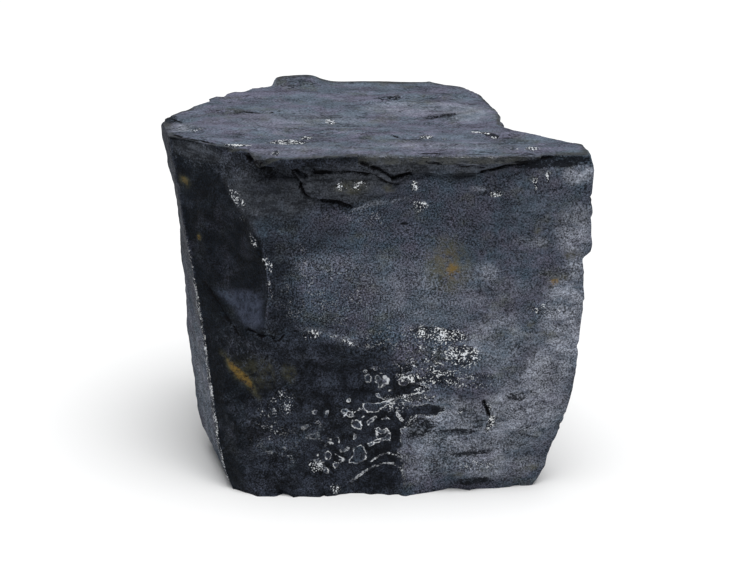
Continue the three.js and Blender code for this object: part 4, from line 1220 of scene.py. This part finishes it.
def stone_material(masks):
    """Black silica: fresh black stone under a weathered blue-grey skin, with bloom, rust, white crust and
    cracks. It reads the place in mm, the mesh's masks by name, and the table of patterns."""
    material = bpy.data.materials.new("black silica")
    material.use_nodes = True
    tree = material.node_tree
    tree.nodes.clear()
    graph = Graph(tree)
    ease, times, most, blend = graph.ease, graph.times, graph.most, graph.blend
    groups = {
        "edge": ragged_edge_group(), "flecks": flecks_group(), "islands": islands_group(),
        "mottling": mottling_group(), "seams": seams_group(),
    }

    def use(kind, **inputs):
        """A placed node group with its own values."""
        made = graph.node("ShaderNodeGroup", node_tree=groups[kind])
        for key, value in inputs.items():
            graph.put(made.inputs[key], value)
        return made.outputs

    place = graph.moved(graph.node("ShaderNodeTexCoord").outputs["Object"], (1 / MM, 1 / MM, 1 / MM))
    mask = {name: graph.mask(name) for name in masks}
    pattern = {name: graph.pattern(place, **row) for name, row in PATTERNS.items()}
    on_bed, slate, crust_density, rim_density = (mask[name] for name in ("on_bed", "slate", "crust", "rims"))

    # the grain is coarser in contrast under the crust, weaker on slate and on the smooth right of the front
    grains = times(ease(crust_density, 0.0, 0.3, 7.4, 9.5), ease(slate, 0.0, 1.0, 1.0, 0.45))
    grains = times(grains, ease(mask["smooth"], 0.0, 1.0, 1.0, 0.75))
    grain = use("mottling", Place=place, Clouds=2.4, Grains=grains)
    bed_grain = use("mottling", Place=graph.moved(place, (0.7, 1.5, 1)), Clouds=2.6, Grains=3.8)

    # where the skin is left: outside the drawn edge, and on islands within it
    drawn = use("edge", Place=place, Distance=mask["skin"], Tear=1.0)["Distance"]
    sparse = graph.less(mask["islands"], pattern["island spread"])
    island = use("islands", Place=place, Level=0.59)["Distance"]
    island = graph.math("MINIMUM", island, times(sparse, 6.0))
    isle = graph.add(mask["isle"], graph.around(pattern["isle edge"], 1.8))
    distance = most(drawn, most(island, isle))
    softness = ease(rim_density, 0.1, 0.5, 3.2, 0.2)
    kept = graph.math("MULTIPLY_ADD", graph.math("DIVIDE", distance, softness), 0.5, 0.5, clamp=True)
    bare = graph.less(1.0, kept)
    rim = times(ease(graph.math("ABSOLUTE", distance), 0.26, 0.08), rim_density)
    rim = times(rim, pattern["rim breaks"])

    # the weathered skin, with its bloom
    skin = blend(pattern["skin tint"], SKIN_TEAL, SKIN_VIOLET)
    skin = blend(on_bed, skin, blend(pattern["bed tint"], BED_TEAL, BED_VIOLET))
    skin = blend(pattern["olive"], skin, SKIN_OLIVE)
    bloom = times(mask["bloom"], pattern["bloom clouds"])
    skin = blend(bloom, skin, BLOOM)
    dimmed = most(mask["dim"], ease(isle, 0.0, 0.8, 0.0, 0.75))
    dimmed = most(dimmed, ease(crust_density, 0.3, 0.75, 0.0, 0.95))
    skin = blend(times(dimmed, pattern["dim patches"]), skin, SKIN_DIM)
    skin = graph.shaded(skin, graph.lerp(on_bed, grain["Shade"], bed_grain["Shade"]))

    # the fresh black stone: slate grey under the brow, mottled low on the front, smooth on the facet
    black = blend(pattern["black tint"], BLACK_DEEP, BLACK_GREY)
    black = blend(mask["facet"], black, FACET_BLACK)
    black = blend(times(slate, pattern["slate patches"]), black, SLATE)
    black = blend(times(pattern["mottle spots"], mask["mottle"]), black, MOTTLE_GREY)
    black = graph.shaded(black, grain["Shade"])
    black = blend(bloom, black, MOTTLE_GREY)
    black = blend(times(mask["patch"], pattern["patch streaks"]), black, PATCH_BLUE)
    base = blend(bare, skin, black)
    base = blend(times(mask["rim_of_top"], pattern["top rim"]), base, RIM_OLIVE)

    # shaded streaks, rust, lighter wear on the edges, painted shade in the hollows and cracks, and the top's
    # dark seams
    dashes = pattern["dashes"]
    pepper = graph.total((dashes, 0.4), (pattern["pepper"], 0.6), (mask["shade"], 0.2))
    shade = most(ease(dashes, 0.62, 0.68, 0.0, 0.6), ease(pepper, 0.61, 0.66))
    shade = most(shade, ease(mask["shade"], 0.3, 1.0, 0.0, 0.4))
    shade = most(shade, times(slate, ease(dashes, 0.47, 0.6, 0.0, 0.75)))
    base = blend(times(shade, 0.92), base, BLACK_DEEP)
    rust = blend(ease(mask["rust"], 0.5, 0.9), RUST_OLIVE, RUST_ORANGE)
    base = blend(times(mask["rust"], pattern["rust patches"]), base, rust)
    base = blend(ease(mask["edge_wear_and_hollow_shade"], 0.12, 0.5, 0.0, 0.3), base, EDGE_WORN)
    # painted shade: darker where the surface sinks in among its neighbours
    base = blend(ease(mask["edge_wear_and_hollow_shade"], -0.1, -0.5, 0.0, 0.75), base, BLACK_DEEP)
    seam = times(use("seams", Place=place)["Mask"], on_bed)
    base = blend(times(seam, 0.75), base, BLACK_DEEP)
    # painted shade: the cracks and the seams that gape are filled with near-black, over the grooves cut into
    # the mesh
    gape = graph.add(graph.around(pattern["crack edge"], 2.0), graph.around(pattern["crack reach"], 1.6))
    crack = ease(graph.add(mask["crack"], gape), 0.95, 0.35)
    base = blend(crack, base, CRACK_SHADE)

    # white crust, and the rims of the skin
    flecks = use("flecks", Place=place, Density=crust_density, Size=0.76)["Mask"]
    white = most(times(flecks, ease(crust_density, 0.1, 0.6)), rim)
    base = blend(times(white, 0.95), base, blend(pattern["crust tint"], CRUST_COOL, CRUST_WARM))

    # the bump's height in mm: the grain, the skin's edge, the crust on it, and the cracks and seams in it
    fine = graph.lerp(on_bed, grain["Height"], bed_grain["Height"])
    skin_edge = ease(distance, -0.35, 0.35)
    height = graph.total((fine, 0.8), (skin_edge, 0.3), (white, 0.2), (crack, -0.5), (seam, -0.3))
    bump = graph.node("ShaderNodeBump", {"Height": height, "Distance": MM, "Strength": 0.9}).outputs[0]
    roughness = graph.math("MULTIPLY_ADD", bare, -0.12, pattern["roughness"])
    shader = graph.node("ShaderNodeBsdfPrincipled", {
        "Base Color": base, "Roughness": roughness, "Normal": bump, "Specular IOR Level": 0.07,
    })
    graph.node("ShaderNodeOutputMaterial", {"Surface": shader.outputs[0]})
    return material


stone = make_stone()
stone.data.materials.append(stone_material(MASKS))
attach(stone, "root")
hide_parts(NODE)

# ---------------------------------------------------------------------------------------------------
# The studio
# ---------------------------------------------------------------------------------------------------

paper = bpy.data.materials.new("white paper")
paper.use_nodes = True
sheet = paper.node_tree.nodes["Principled BSDF"].inputs
sheet["Base Color"].default_value = (*PAPER_GREY, 1)
sheet["Roughness"].default_value = PAPER_ROUGHNESS
floor_mesh = bpy.data.meshes.new("floor")
floor_corners = [(x * FLOOR_REACH, y * FLOOR_REACH, 0) for x, y in ((-1, -1), (1, -1), (1, 1), (-1, 1))]
floor_mesh.from_pydata(floor_corners, [], [(0, 1, 2, 3)])
floor_mesh.materials.append(paper)
floor = add_object("floor", floor_mesh)

overhead = bpy.data.lights.new("overhead", "SUN")
overhead.angle = math.radians(LIGHT_SPREAD)
overhead.energy = LIGHT_STRENGTH
add_object("overhead", overhead).rotation_euler = Vector(LIGHT_WAY).to_track_quat("-Z", "Y").to_euler()

world = bpy.data.worlds.new("studio")
bpy.context.scene.world = world
world.use_nodes = True
sky = Graph(world.node_tree)
background = world.node_tree.nodes["Background"].inputs
seen = sky.node("ShaderNodeLightPath").outputs["Is Camera Ray"]
sky.put(background["Color"], SKY_WHITE)
sky.put(background["Strength"], sky.math("MULTIPLY_ADD", seen, SKY_SEEN - SKY_STRENGTH, SKY_STRENGTH))
bpy.context.scene.view_settings.view_transform = "Standard"

lens = bpy.data.cameras.new("camera")
lens.sensor_width = SENSOR_WIDTH
lens.lens = LENS_LENGTH
camera = add_object("camera", lens)
tilt = math.radians(CAMERA_TILT)
aim_x, aim_y, aim_z = CAMERA_AIM
camera.location = (aim_x, aim_y - CAMERA_FAR * math.cos(tilt), aim_z + CAMERA_FAR * math.sin(tilt))
camera.rotation_euler = (math.pi / 2 - tilt, 0, 0)
bpy.context.scene.camera = camera
